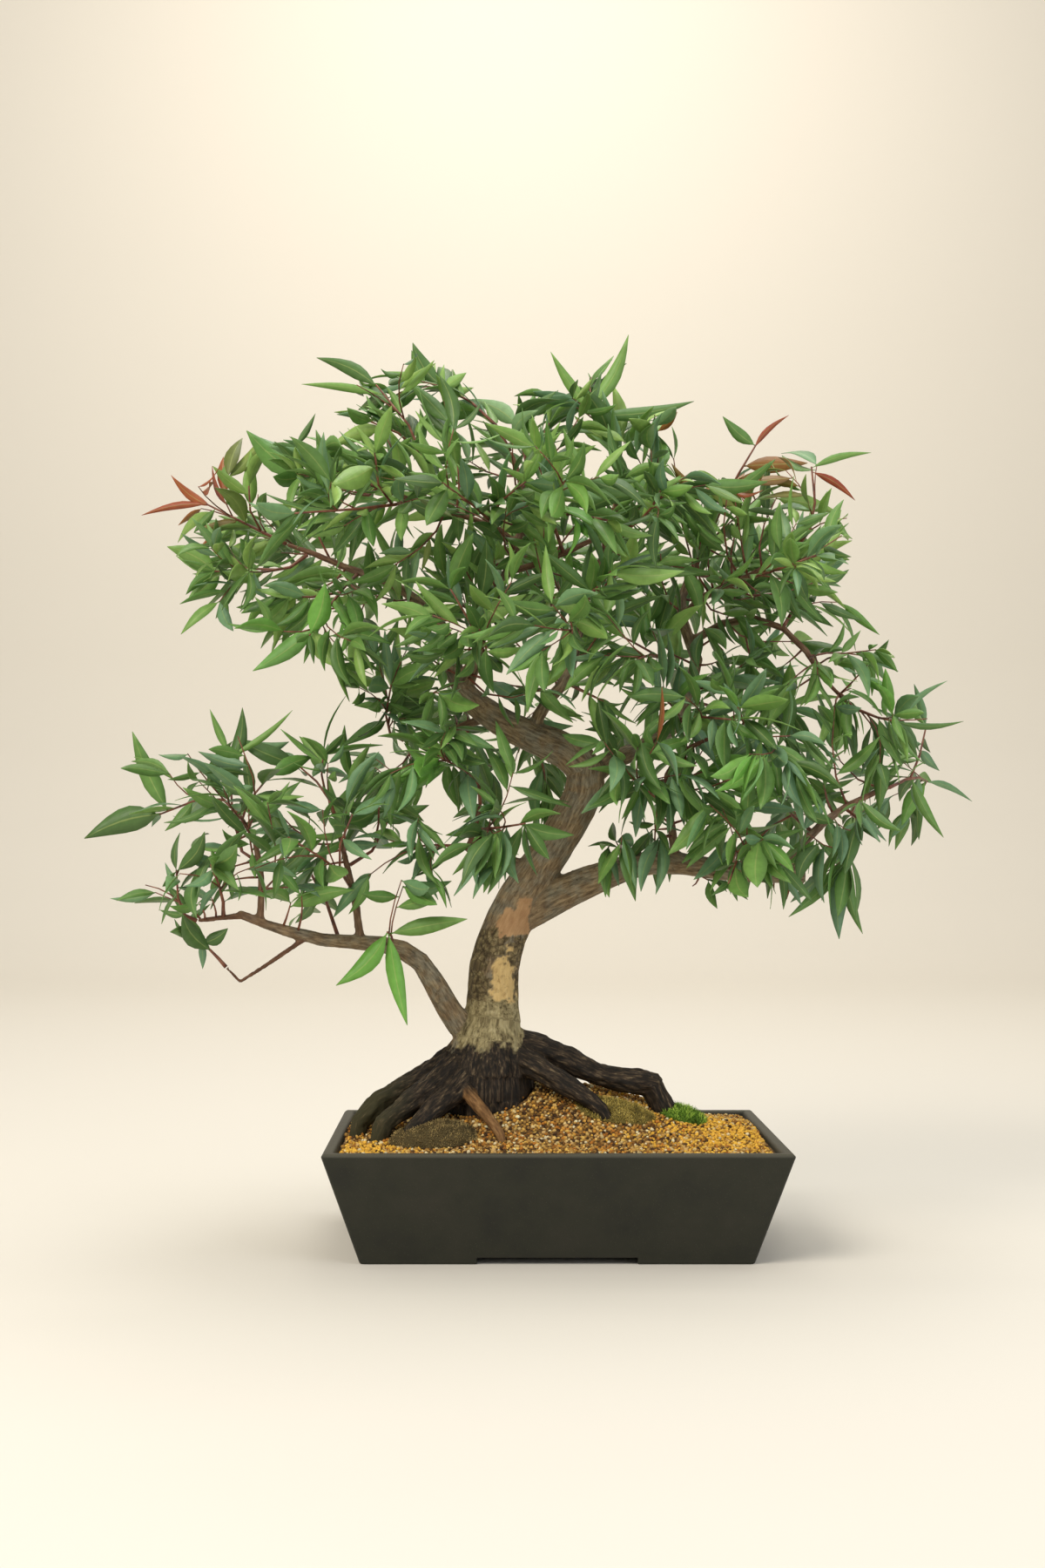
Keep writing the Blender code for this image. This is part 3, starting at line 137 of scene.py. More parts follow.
pot = merged("stoneware_pot", "pot")
bm = bmesh.new()
bm.from_mesh(pot.data)
bmesh.ops.dissolve_limit(bm, angle_limit=math.radians(POT_FLAT_ANGLE), verts=bm.verts, edges=bm.edges)
bm.normal_update()
bmesh.ops.bevel(
    bm,
    geom=[edge for edge in bm.edges if edge.calc_face_angle(0.0) > math.radians(POT_EDGE_ANGLE)],
    offset=POT_EDGE_ROUND,
    segments=POT_EDGE_STEPS,
    profile=0.5,
    affect="EDGES",
    clamp_overlap=True,
    material=-1,
)
bm.to_mesh(pot.data)
bm.free()
weighted = pot.modifiers.new("even_shading", "WEIGHTED_NORMAL")
weighted.keep_sharp = True

# Unglazed stoneware: reduction firing leaves it matt and dark, with faint warm and cold clouds some 40 mm
# wide and iron specks under a millimetre. Its colour is paler in a band along the top of the rim.
stoneware, tree, shader, place = material("unglazed_stoneware")
clouds = add(tree, "ShaderNodeTexNoise", {"Vector": place, "Scale": 26.0, "Detail": 5.0, "Roughness": 0.6})
BODY_SHADES = [(0.30, "#20211a"), (0.50, "#26271d"), (0.72, "#2c2b22")]
body = add(tree, "ShaderNodeValToRGB", {"Fac": clouds}, BODY_SHADES)
specks = add(tree, "ShaderNodeTexVoronoi", {"Vector": place, "Scale": 420.0})
is_speck = add(tree, "ShaderNodeValToRGB", {"Fac": specks}, [(0.06, 1.0), (0.14, 0.0)])
speckled = add(tree, "ShaderNodeMixRGB", {"Fac": is_speck, "Color1": body, "Color2": colour("#403e31")})
rim = {"Value": add(tree, "ShaderNodeSeparateXYZ", {"Vector": place}).outputs["Z"]}
rim |= {"From Min": POT_HEIGHT - RIM_BAND[0], "From Max": POT_HEIGHT - RIM_BAND[1]}
on_rim = add(tree, "ShaderNodeMapRange", {**rim, "To Min": 0.0, "To Max": RIM_PALENESS})
rimmed = add(tree, "ShaderNodeMixRGB", {"Fac": on_rim, "Color1": speckled, "Color2": colour("#5f5c4e")})
grit = add(tree, "ShaderNodeTexNoise", {"Vector": place, "Scale": 700.0, "Detail": 3.0})
slab = add(tree, "ShaderNodeTexNoise", {"Vector": place, "Scale": 60.0, "Detail": 2.0})
fine = add(tree, "ShaderNodeBump", {"Height": grit, "Strength": 0.25, "Distance": 0.0004})
broad = add(tree, "ShaderNodeBump", {"Height": slab, "Normal": fine, "Strength": 0.3, "Distance": 0.0015})
feed(tree, shader, {"Base Color": rimmed, "Normal": broad, "Roughness": 0.62, "Specular IOR Level": 0.35})
set_down(pot, stoneware, "stoneware", "pot", sharp=40)


# The drainage screens. Moulded polyethylene mesh, laid over the two holes in the pot's floor so that the grit
# stays in. Only seen from below, dark green and slightly waxy.
polyethylene, tree, shader, place = material("moulded_polyethylene")
waxy = add(tree, "ShaderNodeTexNoise", {"Vector": place, "Scale": 300.0, "Detail": 2.0})
tint = add(tree, "ShaderNodeValToRGB", {"Fac": waxy}, [(0.35, "#1b251d"), (0.65, "#243128")])
feed(tree, shader, {"Base Color": tint, "Roughness": 0.45})
for name in ("drain_screen_left", "drain_screen_right"):
    solids[name].data.materials.clear()
    solids[name].data.materials.append(polyethylene)


# The soil. Fired clay, crushed quartz and bark fines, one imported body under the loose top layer. It fills the
# pot and is heaped towards the roots.
SOIL_LEVEL = 0.0965
MOUND_RISE = 0.048
MOUND_CENTRE = (-0.005, 0.010)
MOUND_SPREAD = (0.138, 0.076)


def soil_height(x, y):
    """Level at the walls, and a mound round the roots."""
    across_mound = (x - MOUND_CENTRE[0]) / MOUND_SPREAD[0]
    along_depth = (y - MOUND_CENTRE[1]) / MOUND_SPREAD[1]
    return SOIL_LEVEL + MOUND_RISE * math.exp(-(across_mound**2 + along_depth**2))


# Damp packed grit: the same 3 mm grains as on top, sunk in dark fines, so it is deep brown between them.
packed_grit, tree, shader, place = material("packed_damp_grit")
cells = add(tree, "ShaderNodeTexVoronoi", {"Vector": place, "Scale": 330.0})
each_cell = add(tree, "ShaderNodeSeparateColor", {"Color": cells.outputs["Color"]})
DAMP_SHADES = [(0.15, "#33230f"), (0.5, "#6a4c22"), (0.85, "#a07a3c")]
damp = add(tree, "ShaderNodeValToRGB", {"Fac": each_cell}, DAMP_SHADES)
lumps = add(tree, "ShaderNodeBump", {"Height": cells, "Strength": 0.8, "Distance": 0.002})
feed(tree, shader, {"Base Color": damp, "Normal": lumps, "Roughness": 0.9})
solids["soil"].data.materials.clear()
solids["soil"].data.materials.append(packed_grit)


# The wood. Roots, trunk and limbs of a river red gum, grown as one piece. Each point is (x, y, z, radius) on
# the middle line of a limb. The bark is smooth and sheds in flakes; the roots are old, wet and nearly black.
TRUNK = [
    (-0.052, 0.014, 0.098, 0.0170), (-0.052, 0.013, 0.130, 0.0190), (-0.055, 0.008, 0.160, 0.0250),
    (-0.056, 0.004, 0.188, 0.0265), (-0.056, 0.002, 0.221, 0.0250), (-0.055, 0.000, 0.253, 0.0235),
    (-0.046, 0.000, 0.284, 0.0225), (-0.032, -0.002, 0.315, 0.0215), (-0.011, -0.005, 0.349, 0.0190),
    (0.012, -0.008, 0.385, 0.0185), (0.027, -0.009, 0.414, 0.0180), (0.029, -0.010, 0.436, 0.0178),
    (0.013, -0.010, 0.453, 0.0168), (-0.012, -0.008, 0.464, 0.0155), (-0.038, -0.005, 0.476, 0.0143),
    (-0.061, 0.000, 0.490, 0.0128), (-0.081, 0.005, 0.508, 0.0108), (-0.092, 0.014, 0.528, 0.0092),
    (-0.096, 0.018, 0.549, 0.0078), (-0.104, 0.022, 0.571, 0.0070), (-0.120, 0.027, 0.591, 0.0062),
    (-0.140, 0.030, 0.607, 0.0052), (-0.168, 0.034, 0.620, 0.0043), (-0.197, 0.036, 0.631, 0.0036),
    (-0.225, 0.038, 0.643, 0.0029), (-0.252, 0.040, 0.653, 0.0022),
]
LIMBS = {
    "right_limb": [
        (-0.030, 0.000, 0.302, 0.0180), (-0.006, -0.004, 0.315, 0.0172), (0.020, -0.010, 0.328, 0.0158),
        (0.048, -0.017, 0.339, 0.0138), (0.075, -0.023, 0.348, 0.0118), (0.103, -0.028, 0.351, 0.0110),
        (0.130, -0.033, 0.348, 0.0103), (0.158, -0.037, 0.344, 0.0100), (0.193, -0.041, 0.342, 0.0096),
        (0.228, -0.044, 0.340, 0.0090),
    ],
    "left_limb": [
        (-0.068, 0.002, 0.180, 0.0135), (-0.087, -0.003, 0.200, 0.0126), (-0.101, -0.012, 0.222, 0.0115),
        (-0.112, -0.020, 0.243, 0.0104), (-0.123, -0.028, 0.260, 0.0094), (-0.139, -0.036, 0.271, 0.0086),
        (-0.159, -0.044, 0.277, 0.0078), (-0.184, -0.052, 0.279, 0.0070), (-0.212, -0.060, 0.282, 0.0062),
        (-0.239, -0.067, 0.289, 0.0054), (-0.262, -0.073, 0.297, 0.0046), (-0.284, -0.078, 0.306, 0.0038),
    ],
    "left_hanging_twig": [
        (-0.224, -0.064, 0.284, 0.0030), (-0.241, -0.069, 0.272, 0.0026), (-0.260, -0.074, 0.259, 0.0023),
        (-0.282, -0.080, 0.245, 0.0021), (-0.294, -0.082, 0.258, 0.0018),
    ],
    "left_tip": [
        (-0.280, -0.077, 0.304, 0.0036), (-0.300, -0.084, 0.302, 0.0028), (-0.318, -0.090, 0.300, 0.0022),
    ],
    "left_up_outer": [
        (-0.265, -0.073, 0.297, 0.0040), (-0.264, -0.070, 0.322, 0.0036), (-0.265, -0.066, 0.345, 0.0032),
        (-0.271, -0.062, 0.371, 0.0028), (-0.285, -0.054, 0.394, 0.0022),
    ],
    "left_up_inner": [
        (-0.176, -0.050, 0.278, 0.0044), (-0.180, -0.048, 0.308, 0.0040), (-0.186, -0.044, 0.335, 0.0035),
        (-0.193, -0.038, 0.363, 0.0030), (-0.200, -0.032, 0.391, 0.0025),
    ],
    "right_riser": [
        (0.026, -0.010, 0.424, 0.0115), (0.053, 0.005, 0.445, 0.0098), (0.077, 0.018, 0.455, 0.0088),
        (0.100, 0.030, 0.466, 0.0080), (0.117, 0.038, 0.481, 0.0074), (0.127, 0.044, 0.501, 0.0070),
        (0.134, 0.048, 0.523, 0.0067), (0.139, 0.050, 0.544, 0.0064), (0.133, 0.052, 0.561, 0.0060),
        (0.126, 0.055, 0.582, 0.0054), (0.125, 0.058, 0.603, 0.0048), (0.134, 0.062, 0.627, 0.0041),
        (0.146, 0.066, 0.651, 0.0034), (0.158, 0.070, 0.677, 0.0026),
    ],
    "right_arch": [
        (0.135, 0.051, 0.562, 0.0048), (0.163, 0.042, 0.578, 0.0044), (0.191, 0.032, 0.582, 0.0040),
        (0.218, 0.022, 0.571, 0.0036), (0.238, 0.015, 0.549, 0.0032), (0.253, 0.010, 0.524, 0.0028),
        (0.275, 0.008, 0.501, 0.0023),
    ],
    "right_upper": [
        (0.125, 0.056, 0.584, 0.0046), (0.142, 0.040, 0.602, 0.0042), (0.165, 0.020, 0.612, 0.0038),
        (0.183, 0.005, 0.618, 0.0034), (0.204, -0.008, 0.628, 0.0030), (0.223, -0.015, 0.640, 0.0025),
    ],
    "middle_riser": [
        (-0.019, -0.008, 0.464, 0.0070), (-0.014, -0.012, 0.486, 0.0064), (-0.005, -0.016, 0.501, 0.0060),
        (0.006, -0.020, 0.512, 0.0056), (0.015, -0.024, 0.529, 0.0052), (0.021, -0.026, 0.550, 0.0048),
        (0.025, -0.025, 0.574, 0.0044), (0.032, -0.020, 0.603, 0.0039), (0.045, -0.013, 0.633, 0.0034),
        (0.054, -0.005, 0.662, 0.0029), (0.062, 0.003, 0.696, 0.0022),
    ],
    "leader": [
        (-0.082, 0.006, 0.509, 0.0066), (-0.073, -0.004, 0.535, 0.0062), (-0.067, -0.010, 0.561, 0.0058),
        (-0.059, -0.015, 0.586, 0.0053), (-0.047, -0.018, 0.610, 0.0048), (-0.037, -0.018, 0.634, 0.0043),
        (-0.030, -0.015, 0.660, 0.0038), (-0.029, -0.012, 0.686, 0.0033), (-0.032, -0.010, 0.711, 0.0028),
        (-0.040, -0.008, 0.732, 0.0022),
    ],
    "leader_right": [
        (-0.043, -0.018, 0.618, 0.0038), (-0.016, -0.030, 0.625, 0.0035), (0.007, -0.038, 0.633, 0.0032),
        (0.034, -0.045, 0.644, 0.0029), (0.062, -0.052, 0.652, 0.0022),
    ],
    "leader_left": [
        (-0.034, -0.016, 0.645, 0.0038), (-0.053, -0.026, 0.658, 0.0035), (-0.077, -0.036, 0.666, 0.0032),
        (-0.105, -0.043, 0.673, 0.0029), (-0.135, -0.048, 0.682, 0.0026), (-0.168, -0.052, 0.694, 0.0021),
    ],
    "limb_twig": [
        (0.112, -0.030, 0.350, 0.0050), (0.108, -0.034, 0.379, 0.0045), (0.103, -0.040, 0.407, 0.0040),
        (0.102, -0.048, 0.430, 0.0036), (0.114, -0.056, 0.451, 0.0030), (0.134, -0.064, 0.461, 0.0022),
    ],
    "limb_end": [
        (0.211, -0.043, 0.341, 0.0054), (0.227, -0.040, 0.369, 0.0048), (0.248, -0.034, 0.389, 0.0042),
        (0.272, -0.020, 0.404, 0.0036), (0.299, 0.000, 0.415, 0.0028), (0.318, 0.022, 0.421, 0.0022),
    ],
    "hollow_twig": [
        (-0.026, -0.003, 0.348, 0.0052), (-0.051, -0.012, 0.357, 0.0043), (-0.068, -0.020, 0.355, 0.0038),
        (-0.079, -0.026, 0.363, 0.0034), (-0.073, -0.030, 0.383, 0.0030), (-0.068, -0.032, 0.403, 0.0023),
    ],
    "crook_twig": [
        (-0.056, 0.003, 0.487, 0.0050), (-0.077, 0.012, 0.481, 0.0044), (-0.098, 0.020, 0.474, 0.0038),
        (-0.119, 0.026, 0.467, 0.0032), (-0.139, 0.030, 0.466, 0.0023),
    ],
    "crook_stub": [
        (-0.090, 0.010, 0.518, 0.0070), (-0.083, -0.008, 0.526, 0.0058), (-0.078, -0.015, 0.531, 0.0050),
    ],
}
ROOTS = {
    "root_crown": [
        (-0.057, 0.002, 0.204, 0.0240), (-0.059, 0.001, 0.184, 0.0340), (-0.062, 0.000, 0.163, 0.0420),
        (-0.063, 0.000, 0.140, 0.0460), (-0.062, 0.001, 0.112, 0.0440),
    ],
    "root_left_ridge": [
        (-0.070, 0.002, 0.184, 0.0165), (-0.104, -0.006, 0.158, 0.0145), (-0.135, -0.016, 0.142, 0.0125),
        (-0.160, -0.026, 0.131, 0.0110), (-0.178, -0.034, 0.114, 0.0090), (-0.182, -0.040, 0.086, 0.0070),
    ],
    "root_left_front": [
        (-0.072, -0.008, 0.176, 0.0155), (-0.104, -0.030, 0.150, 0.0135), (-0.133, -0.048, 0.131, 0.0115),
        (-0.155, -0.060, 0.115, 0.0095), (-0.164, -0.066, 0.088, 0.0070),
    ],
    "root_left_back": [
        (-0.070, 0.012, 0.180, 0.0140), (-0.110, 0.034, 0.152, 0.0110), (-0.144, 0.052, 0.134, 0.0095),
        (-0.168, 0.062, 0.112, 0.0080), (-0.172, 0.064, 0.082, 0.0065),
    ],
    "root_front_low": [
        (-0.068, -0.014, 0.166, 0.0135), (-0.093, -0.042, 0.141, 0.0118), (-0.113, -0.062, 0.126, 0.0100),
        (-0.130, -0.078, 0.111, 0.0078), (-0.136, -0.086, 0.086, 0.0060),
    ],
    "root_tan": [
        (-0.085, -0.030, 0.150, 0.0075), (-0.075, -0.052, 0.137, 0.0064), (-0.062, -0.070, 0.124, 0.0056),
        (-0.050, -0.085, 0.110, 0.0046), (-0.044, -0.092, 0.090, 0.0036),
    ],
    "root_right_hump": [
        (-0.042, 0.004, 0.184, 0.0150), (-0.012, -0.002, 0.177, 0.0145), (0.014, -0.006, 0.168, 0.0125),
        (0.040, -0.010, 0.154, 0.0110), (0.066, -0.012, 0.149, 0.0120), (0.090, -0.013, 0.145, 0.0130),
        (0.102, -0.014, 0.124, 0.0115), (0.104, -0.014, 0.098, 0.0085),
    ],
    "root_right_front": [
        (-0.040, -0.010, 0.174, 0.0135), (-0.006, -0.030, 0.157, 0.0115), (0.020, -0.040, 0.143, 0.0095),
        (0.042, -0.047, 0.127, 0.0075), (0.056, -0.050, 0.102, 0.0055),
    ],
    "root_right_back": [
        (-0.040, 0.012, 0.180, 0.0130), (-0.003, 0.034, 0.168, 0.0102), (0.034, 0.050, 0.150, 0.0090),
        (0.066, 0.058, 0.128, 0.0078), (0.084, 0.062, 0.096, 0.0065),
    ],
    "root_back": [
        (-0.059, 0.014, 0.180, 0.0140), (-0.070, 0.046, 0.160, 0.0108), (-0.086, 0.072, 0.134, 0.0090),
        (-0.094, 0.084, 0.096, 0.0075),
    ],
    "root_back_right": [
        (-0.050, 0.014, 0.176, 0.0125), (-0.024, 0.050, 0.152, 0.0095), (0.002, 0.074, 0.124, 0.0080),
        (0.010, 0.082, 0.092, 0.0065),
    ],
}
SKIN_CELL = 0.0017
SKIN_ROUNDS = 3
POINTS_AT_ONCE = 4000
# How deep the bark is carved, and the largest share of a limb's radius that this may be. The roots' deep
# carving fades out up the foot of the trunk, from one height to the other.
RELIEF = {"trunk": 0.0008, "limb": 0.0005, "root": 0.0028}
RELIEF_SHARE = 0.16
ROOT_RELIEF_TOP = (0.204, 0.178)
# The carving is dragged aside, further on a root than on a limb, so that it winds as gnarled wood does. Each
# pattern is how many of its waves lie in a metre across the limb and along it.
DRAGGED = (0.006, 0.002)
DRAG_WAVES = (40, 60)
RIDGE_WAVES = (150, 36)
FINE_RIDGE_WAVES = (330, 90)
LUMP_WAVES = (60, 45)
LUMP_START = 7.0
FINE_RIDGE_SHARE = 0.5
LUMP_SHARE = 0.8
# The drag and the rags at the patches' edges are drawn from this seed, so that the bark is the same each run.
BARK_SEED = 7


def apply_modifiers(piece):
    """Gives a piece the mesh that its modifiers make."""
    bpy.context.view_layer.update()
    graph = bpy.context.evaluated_depsgraph_get()
    mesh = bpy.data.meshes.new_from_object(piece.evaluated_get(graph))
    piece.modifiers.clear()
    old = piece.data
    piece.data = mesh
    bpy.data.meshes.remove(old)


def skinned(name, node, cell, rounds):
    """A solid with an even skin of small cells over it, its corners softened."""
    piece = merged(name, node)
    skin = piece.modifiers.new("skin", "REMESH")
    skin.mode = "VOXEL"
    skin.voxel_size = cell
    soften = piece.modifiers.new("soften", "SMOOTH")
    soften.factor = 0.5
    soften.iterations = rounds
    apply_modifiers(piece)
    return piece


def straightened(points):
    """For each point of the bark: its limb's number, its place in that limb laid straight, and the radius."""
    starts, ends, radii, first, second, run, owner = [], [], [], [], [], [], []
    for number, (_, route) in enumerate(ALL_WOOD):
        line = [Vector(point[:3]) for point in route]
        side = (line[1] - line[0]).normalized().orthogonal().normalized()
        along = 0.0
        for i, (a, b) in enumerate(zip(line, line[1:])):
            direction = (b - a).normalized()
            side = (side - direction * side.dot(direction)).normalized()
            starts.append(a)
            ends.append(b)
            radii.append((route[i][3], route[i + 1][3]))
            first.append(side)
            second.append(direction.cross(side))
            run.append(along)
            owner.append(number)
            along += (b - a).length
    columns = (starts, ends, radii, first, second, run, owner)
    starts, ends, radii, first, second, run, owner = map(np.array, columns)
    spans = ends - starts
    lengths = np.linalg.norm(spans, axis=1)
    number = np.empty(len(points), int)
    laid = np.empty((len(points), 3))
    thickness = np.empty(len(points))
    for begin in range(0, len(points), POINTS_AT_ONCE):
        part = slice(begin, begin + POINTS_AT_ONCE)
        offset = points[part][:, None] - starts[None]
        share = np.clip((offset * spans[None]).sum(2) / lengths**2, 0.0, 1.0)
        offset -= share[..., None] * spans[None]
        radius = radii[None, :, 0] + share * (radii[:, 1] - radii[:, 0])[None]
        nearest = (np.linalg.norm(offset, axis=2) - radius).argmin(1)
        rows = np.arange(len(offset))
        offset = offset[rows, nearest]
        number[part] = owner[nearest]
        laid[part, 0] = (offset * first[nearest]).sum(1)
        laid[part, 1] = (offset * second[nearest]).sum(1)
        laid[part, 2] = run[nearest] + share[rows, nearest] * lengths[nearest]
        thickness[part] = radius[rows, nearest]
    return number, laid, thickness


def read(vertices, name="co"):
    """The places of a mesh's vertices, or another of their vectors, in rows."""
    values = np.empty(len(vertices) * 3)
    vertices.foreach_get(name, values)
    return values.reshape(-1, 3)


def step(values, low, high):
    """0 below low, 1 above high, and a smooth rise between them."""
    share = np.clip((values - low) / (high - low), 0.0, 1.0)
    return share * share * (3 - 2 * share)


def fall(values, high, low):
    """1 below low, 0 above high, and a smooth fall between them."""
    return step(-values, -high, -low)


def waves(points, pattern, start=0.0, kind=noise.noise):
    """Noise at each point of a limb laid straight."""
    across_it, along_it = pattern
    return np.array([kind((x * across_it, y * across_it, s * along_it + start)) for x, y, s in points])


ALL_WOOD = [("trunk", TRUNK)]
ALL_WOOD += [("limb", route) for route in LIMBS.values()]
ALL_WOOD += [("root", route) for route in ROOTS.values()]
wood = skinned("river_red_gum_wood", "tree_wood", SKIN_CELL, SKIN_ROUNDS)
bark_points = read(wood.data.vertices)
bark_normals = read(wood.data.vertices, "normal")
limb_number, laid, limb_radius = straightened(bark_points)
kinds = np.array([kind for kind, _ in ALL_WOOD])[limb_number]
# Relief: long ridges on the roots, low flake edges on the trunk, and a slight unevenness on the limbs.
noise.seed_set(BARK_SEED)
on_root = kinds == "root"
gnarled = laid + waves(laid, DRAG_WAVES, kind=noise.noise_vector) * np.where(on_root, *DRAGGED)[:, None]
ridges = waves(gnarled, RIDGE_WAVES) + FINE_RIDGE_SHARE * waves(gnarled, FINE_RIDGE_WAVES)
lumps = waves(laid, LUMP_WAVES, LUMP_START)
depth = np.select([on_root, kinds == "trunk"], [RELIEF["root"], RELIEF["trunk"]], RELIEF["limb"])
depth = np.minimum(depth, limb_radius * RELIEF_SHARE)
depth = np.where(on_root, depth * fall(bark_points[:, 2], *ROOT_RELIEF_TOP), depth)
depth = np.maximum(depth, np.minimum(RELIEF["limb"], limb_radius * RELIEF_SHARE))
bark_points += bark_normals * (depth * (ridges + LUMP_SHARE * lumps))[:, None]
wood.data.vertices.foreach_set("co", bark_points.ravel())

# What the bark is like from place to place. A patch is its kind, from and to which share of the trunk's
# width, and from and to which height. The back of the trunk has the same patches turned round.
BARK_PATCHES = [
    ("tan", -0.55, 1.10, 0.283, 0.309),
    ("tan", -0.05, 0.55, 0.305, 0.318),
    ("flaky", -0.50, 0.28, 0.263, 0.285),
    ("flaky", 0.40, 1.30, 0.256, 0.282),
    ("flaky", -1.30, -0.30, 0.222, 0.290),
    ("flaky", -0.40, -0.12, 0.224, 0.246),
    ("flaky", 0.74, 1.30, 0.226, 0.250),
    ("cream", -0.15, 0.80, 0.222, 0.263),
    ("cream", 0.24, 0.44, 0.258, 0.276),
    ("streaked", -1.30, 1.30, 0.160, 0.229),
]
# They end at this height, below which the trunk has its first points only. Their edges are this soft and this
# ragged: across the trunk in shares of its width, and upwards. Each rag has a fineness and a weight.
PATCHES_TOP = 0.36
LOW_TRUNK = np.array(TRUNK[:12])
TURNED_ROUND = 0.25
EDGE_ACROSS, EDGE_UP = 0.08, 0.0012
RAGGED_ACROSS, RAGGED_UP = 0.20, 0.0050
RAGS = [(210, 1.0), (520, 0.6)]
# The heights between which the dark wet bark ends on the roots and on the foot, and the tan root's bark ends.
# Lumps and rags shift the first two. Limbs thinner than the last pair of radii have young bark.
DARK_ROOTS_TOP = (0.200, 0.190)
DARK_FOOT_TOP = (0.184, 0.178)
TAN_ROOT_TOP = (0.150, 0.138)
LUMP_SHIFT, RAG_SHIFT = 0.012, 0.004
YOUNG_RADII = (0.0024, 0.0068)

height = bark_points[:, 2]
trunk_middle, trunk_radius = (np.interp(height, LOW_TRUNK[:, 2], LOW_TRUNK[:, i]) for i in (0, 3))
on_foot = (kinds == "trunk") | (limb_number == [route for _, route in ALL_WOOD].index(ROOTS["root_crown"]))
on_trunk = on_foot * (height < PATCHES_TOP)
across_trunk = (bark_points[:, 0] - trunk_middle) / trunk_radius
across_trunk = np.where(bark_normals[:, 1] > 0, TURNED_ROUND - across_trunk, across_trunk)
ragged = np.zeros_like(bark_points)
for fine, share in RAGS:
    ragged += share * np.array([noise.noise_vector(tuple(point * fine)) for point in bark_points])
across_trunk += RAGGED_ACROSS * ragged[:, 0]
ragged_height = height + RAGGED_UP * ragged[:, 2]


def patches_of(kind):
    """How far each point of the bark lies in the patches of one kind."""
    inside = np.zeros(len(bark_points))
    for patch_kind, left, right, low, high in BARK_PATCHES:
        if patch_kind == kind:
            share = step(across_trunk, left, left + EDGE_ACROSS)
            share = share * (1 - step(across_trunk, right - EDGE_ACROSS, right))
            share *= step(ragged_height, low, low + EDGE_UP) * (1 - step(ragged_height, high - EDGE_UP, high))
            inside = np.maximum(inside, share * on_trunk)
    return inside


uneven = ragged_height + LUMP_SHIFT * lumps + RAG_SHIFT * ragged[:, 1]
dark = np.where(on_root, fall(uneven, *DARK_ROOTS_TOP), 0.0)
dark = np.where(on_foot, fall(uneven, *DARK_FOOT_TOP), dark)
tan_root = np.array([float(route is ROOTS["root_tan"]) for _, route in ALL_WOOD])[limb_number]
tan_root *= fall(height, *TAN_ROOT_TOP)
young = 1 - step(limb_radius, *YOUNG_RADII)
zones = np.stack([dark, young, patches_of("flaky"), tan_root], axis=1)
peeled = np.stack([*map(patches_of, ("tan", "cream", "streaked")), np.ones(len(dark))], axis=1)


def paint(mesh, name, values):
    """A colour for each vertex, for a material to read."""
    layer = mesh.attributes.new(name, "FLOAT_COLOR", "POINT")
    layer.data.foreach_set("color", np.asarray(values, float).ravel())


def lay_out(mesh, name, values):
    """A point for each vertex, for a material's patterns to follow."""
    layer = mesh.attributes.new(name, "FLOAT_VECTOR", "POINT")
    layer.data.foreach_set("vector", np.asarray(values, float).ravel())


paint(wood.data, "zones", zones)
paint(wood.data, "peeled", peeled)
lay_out(wood.data, "laid_straight", laid)

# Eucalypt bark: thin dry flakes lift off smooth wood that is cream and tan when fresh and weathers to grey
# and grey-brown. Streaks of about 2 mm run lengthwise. The roots are dark with grey-brown ridges.
gum_bark, tree, shader, place = material("shedding_gum_bark")
laid_out = add(tree, "ShaderNodeAttribute", attribute_name="laid_straight").outputs["Vector"]
drawn_out = add(tree, "ShaderNodeMapping", {"Vector": laid_out, "Scale": (1.0, 1.0, 0.22)})
BARK_PATTERNS = [
    ("streaks", drawn_out, 420.0, 6.0, 0.62),
    ("weathering", laid_out, 55.0, 4.0, 0.6),
    ("spots", laid_out, 190.0, 5.0, 0.7),
]
seen = {"half": 0.5, "third": 0.35, "old_spot": colour("#463925"), "algae": colour("#3f3d22")}
for name, vector, scale, detail, roughness in BARK_PATTERNS:
    pattern = {"Vector": vector, "Scale": scale, "Detail": detail, "Roughness": roughness}
    seen[name] = add(tree, "ShaderNodeTexNoise", pattern)
shake = add(tree, "ShaderNodeTexNoise", {"Vector": laid_out, "Scale": 240.0, "Detail": 3.0}).outputs["Color"]
shaking = {"Fac": 0.0022, "Color1": laid_out, "Color2": shake}
shaken = add(tree, "ShaderNodeMixRGB", shaking, blend_type="LINEAR_LIGHT")
seen["plates"] = add(
    tree, "ShaderNodeTexVoronoi", {"Vector": shaken, "Scale": 155.0}, feature="DISTANCE_TO_EDGE"
)
for attribute, channels in (("zones", ("dark", "young", "flaky")), ("peeled", ("tan", "cream", "streaked"))):
    painted = add(tree, "ShaderNodeAttribute", attribute_name=attribute)
    seen |= zip(channels, add(tree, "ShaderNodeSeparateColor", {"Color": painted}).outputs)
    if attribute == "zones":
        seen["tan_root"] = painted.outputs["Alpha"]
green_end = {"From Min": -0.125, "From Max": -0.165, "To Min": 0.0, "To Max": 0.7}
green_end["Value"] = add(tree, "ShaderNodeSeparateXYZ", {"Vector": place}).outputs["X"]
seen["left_end"] = add(tree, "ShaderNodeMapRange", green_end)
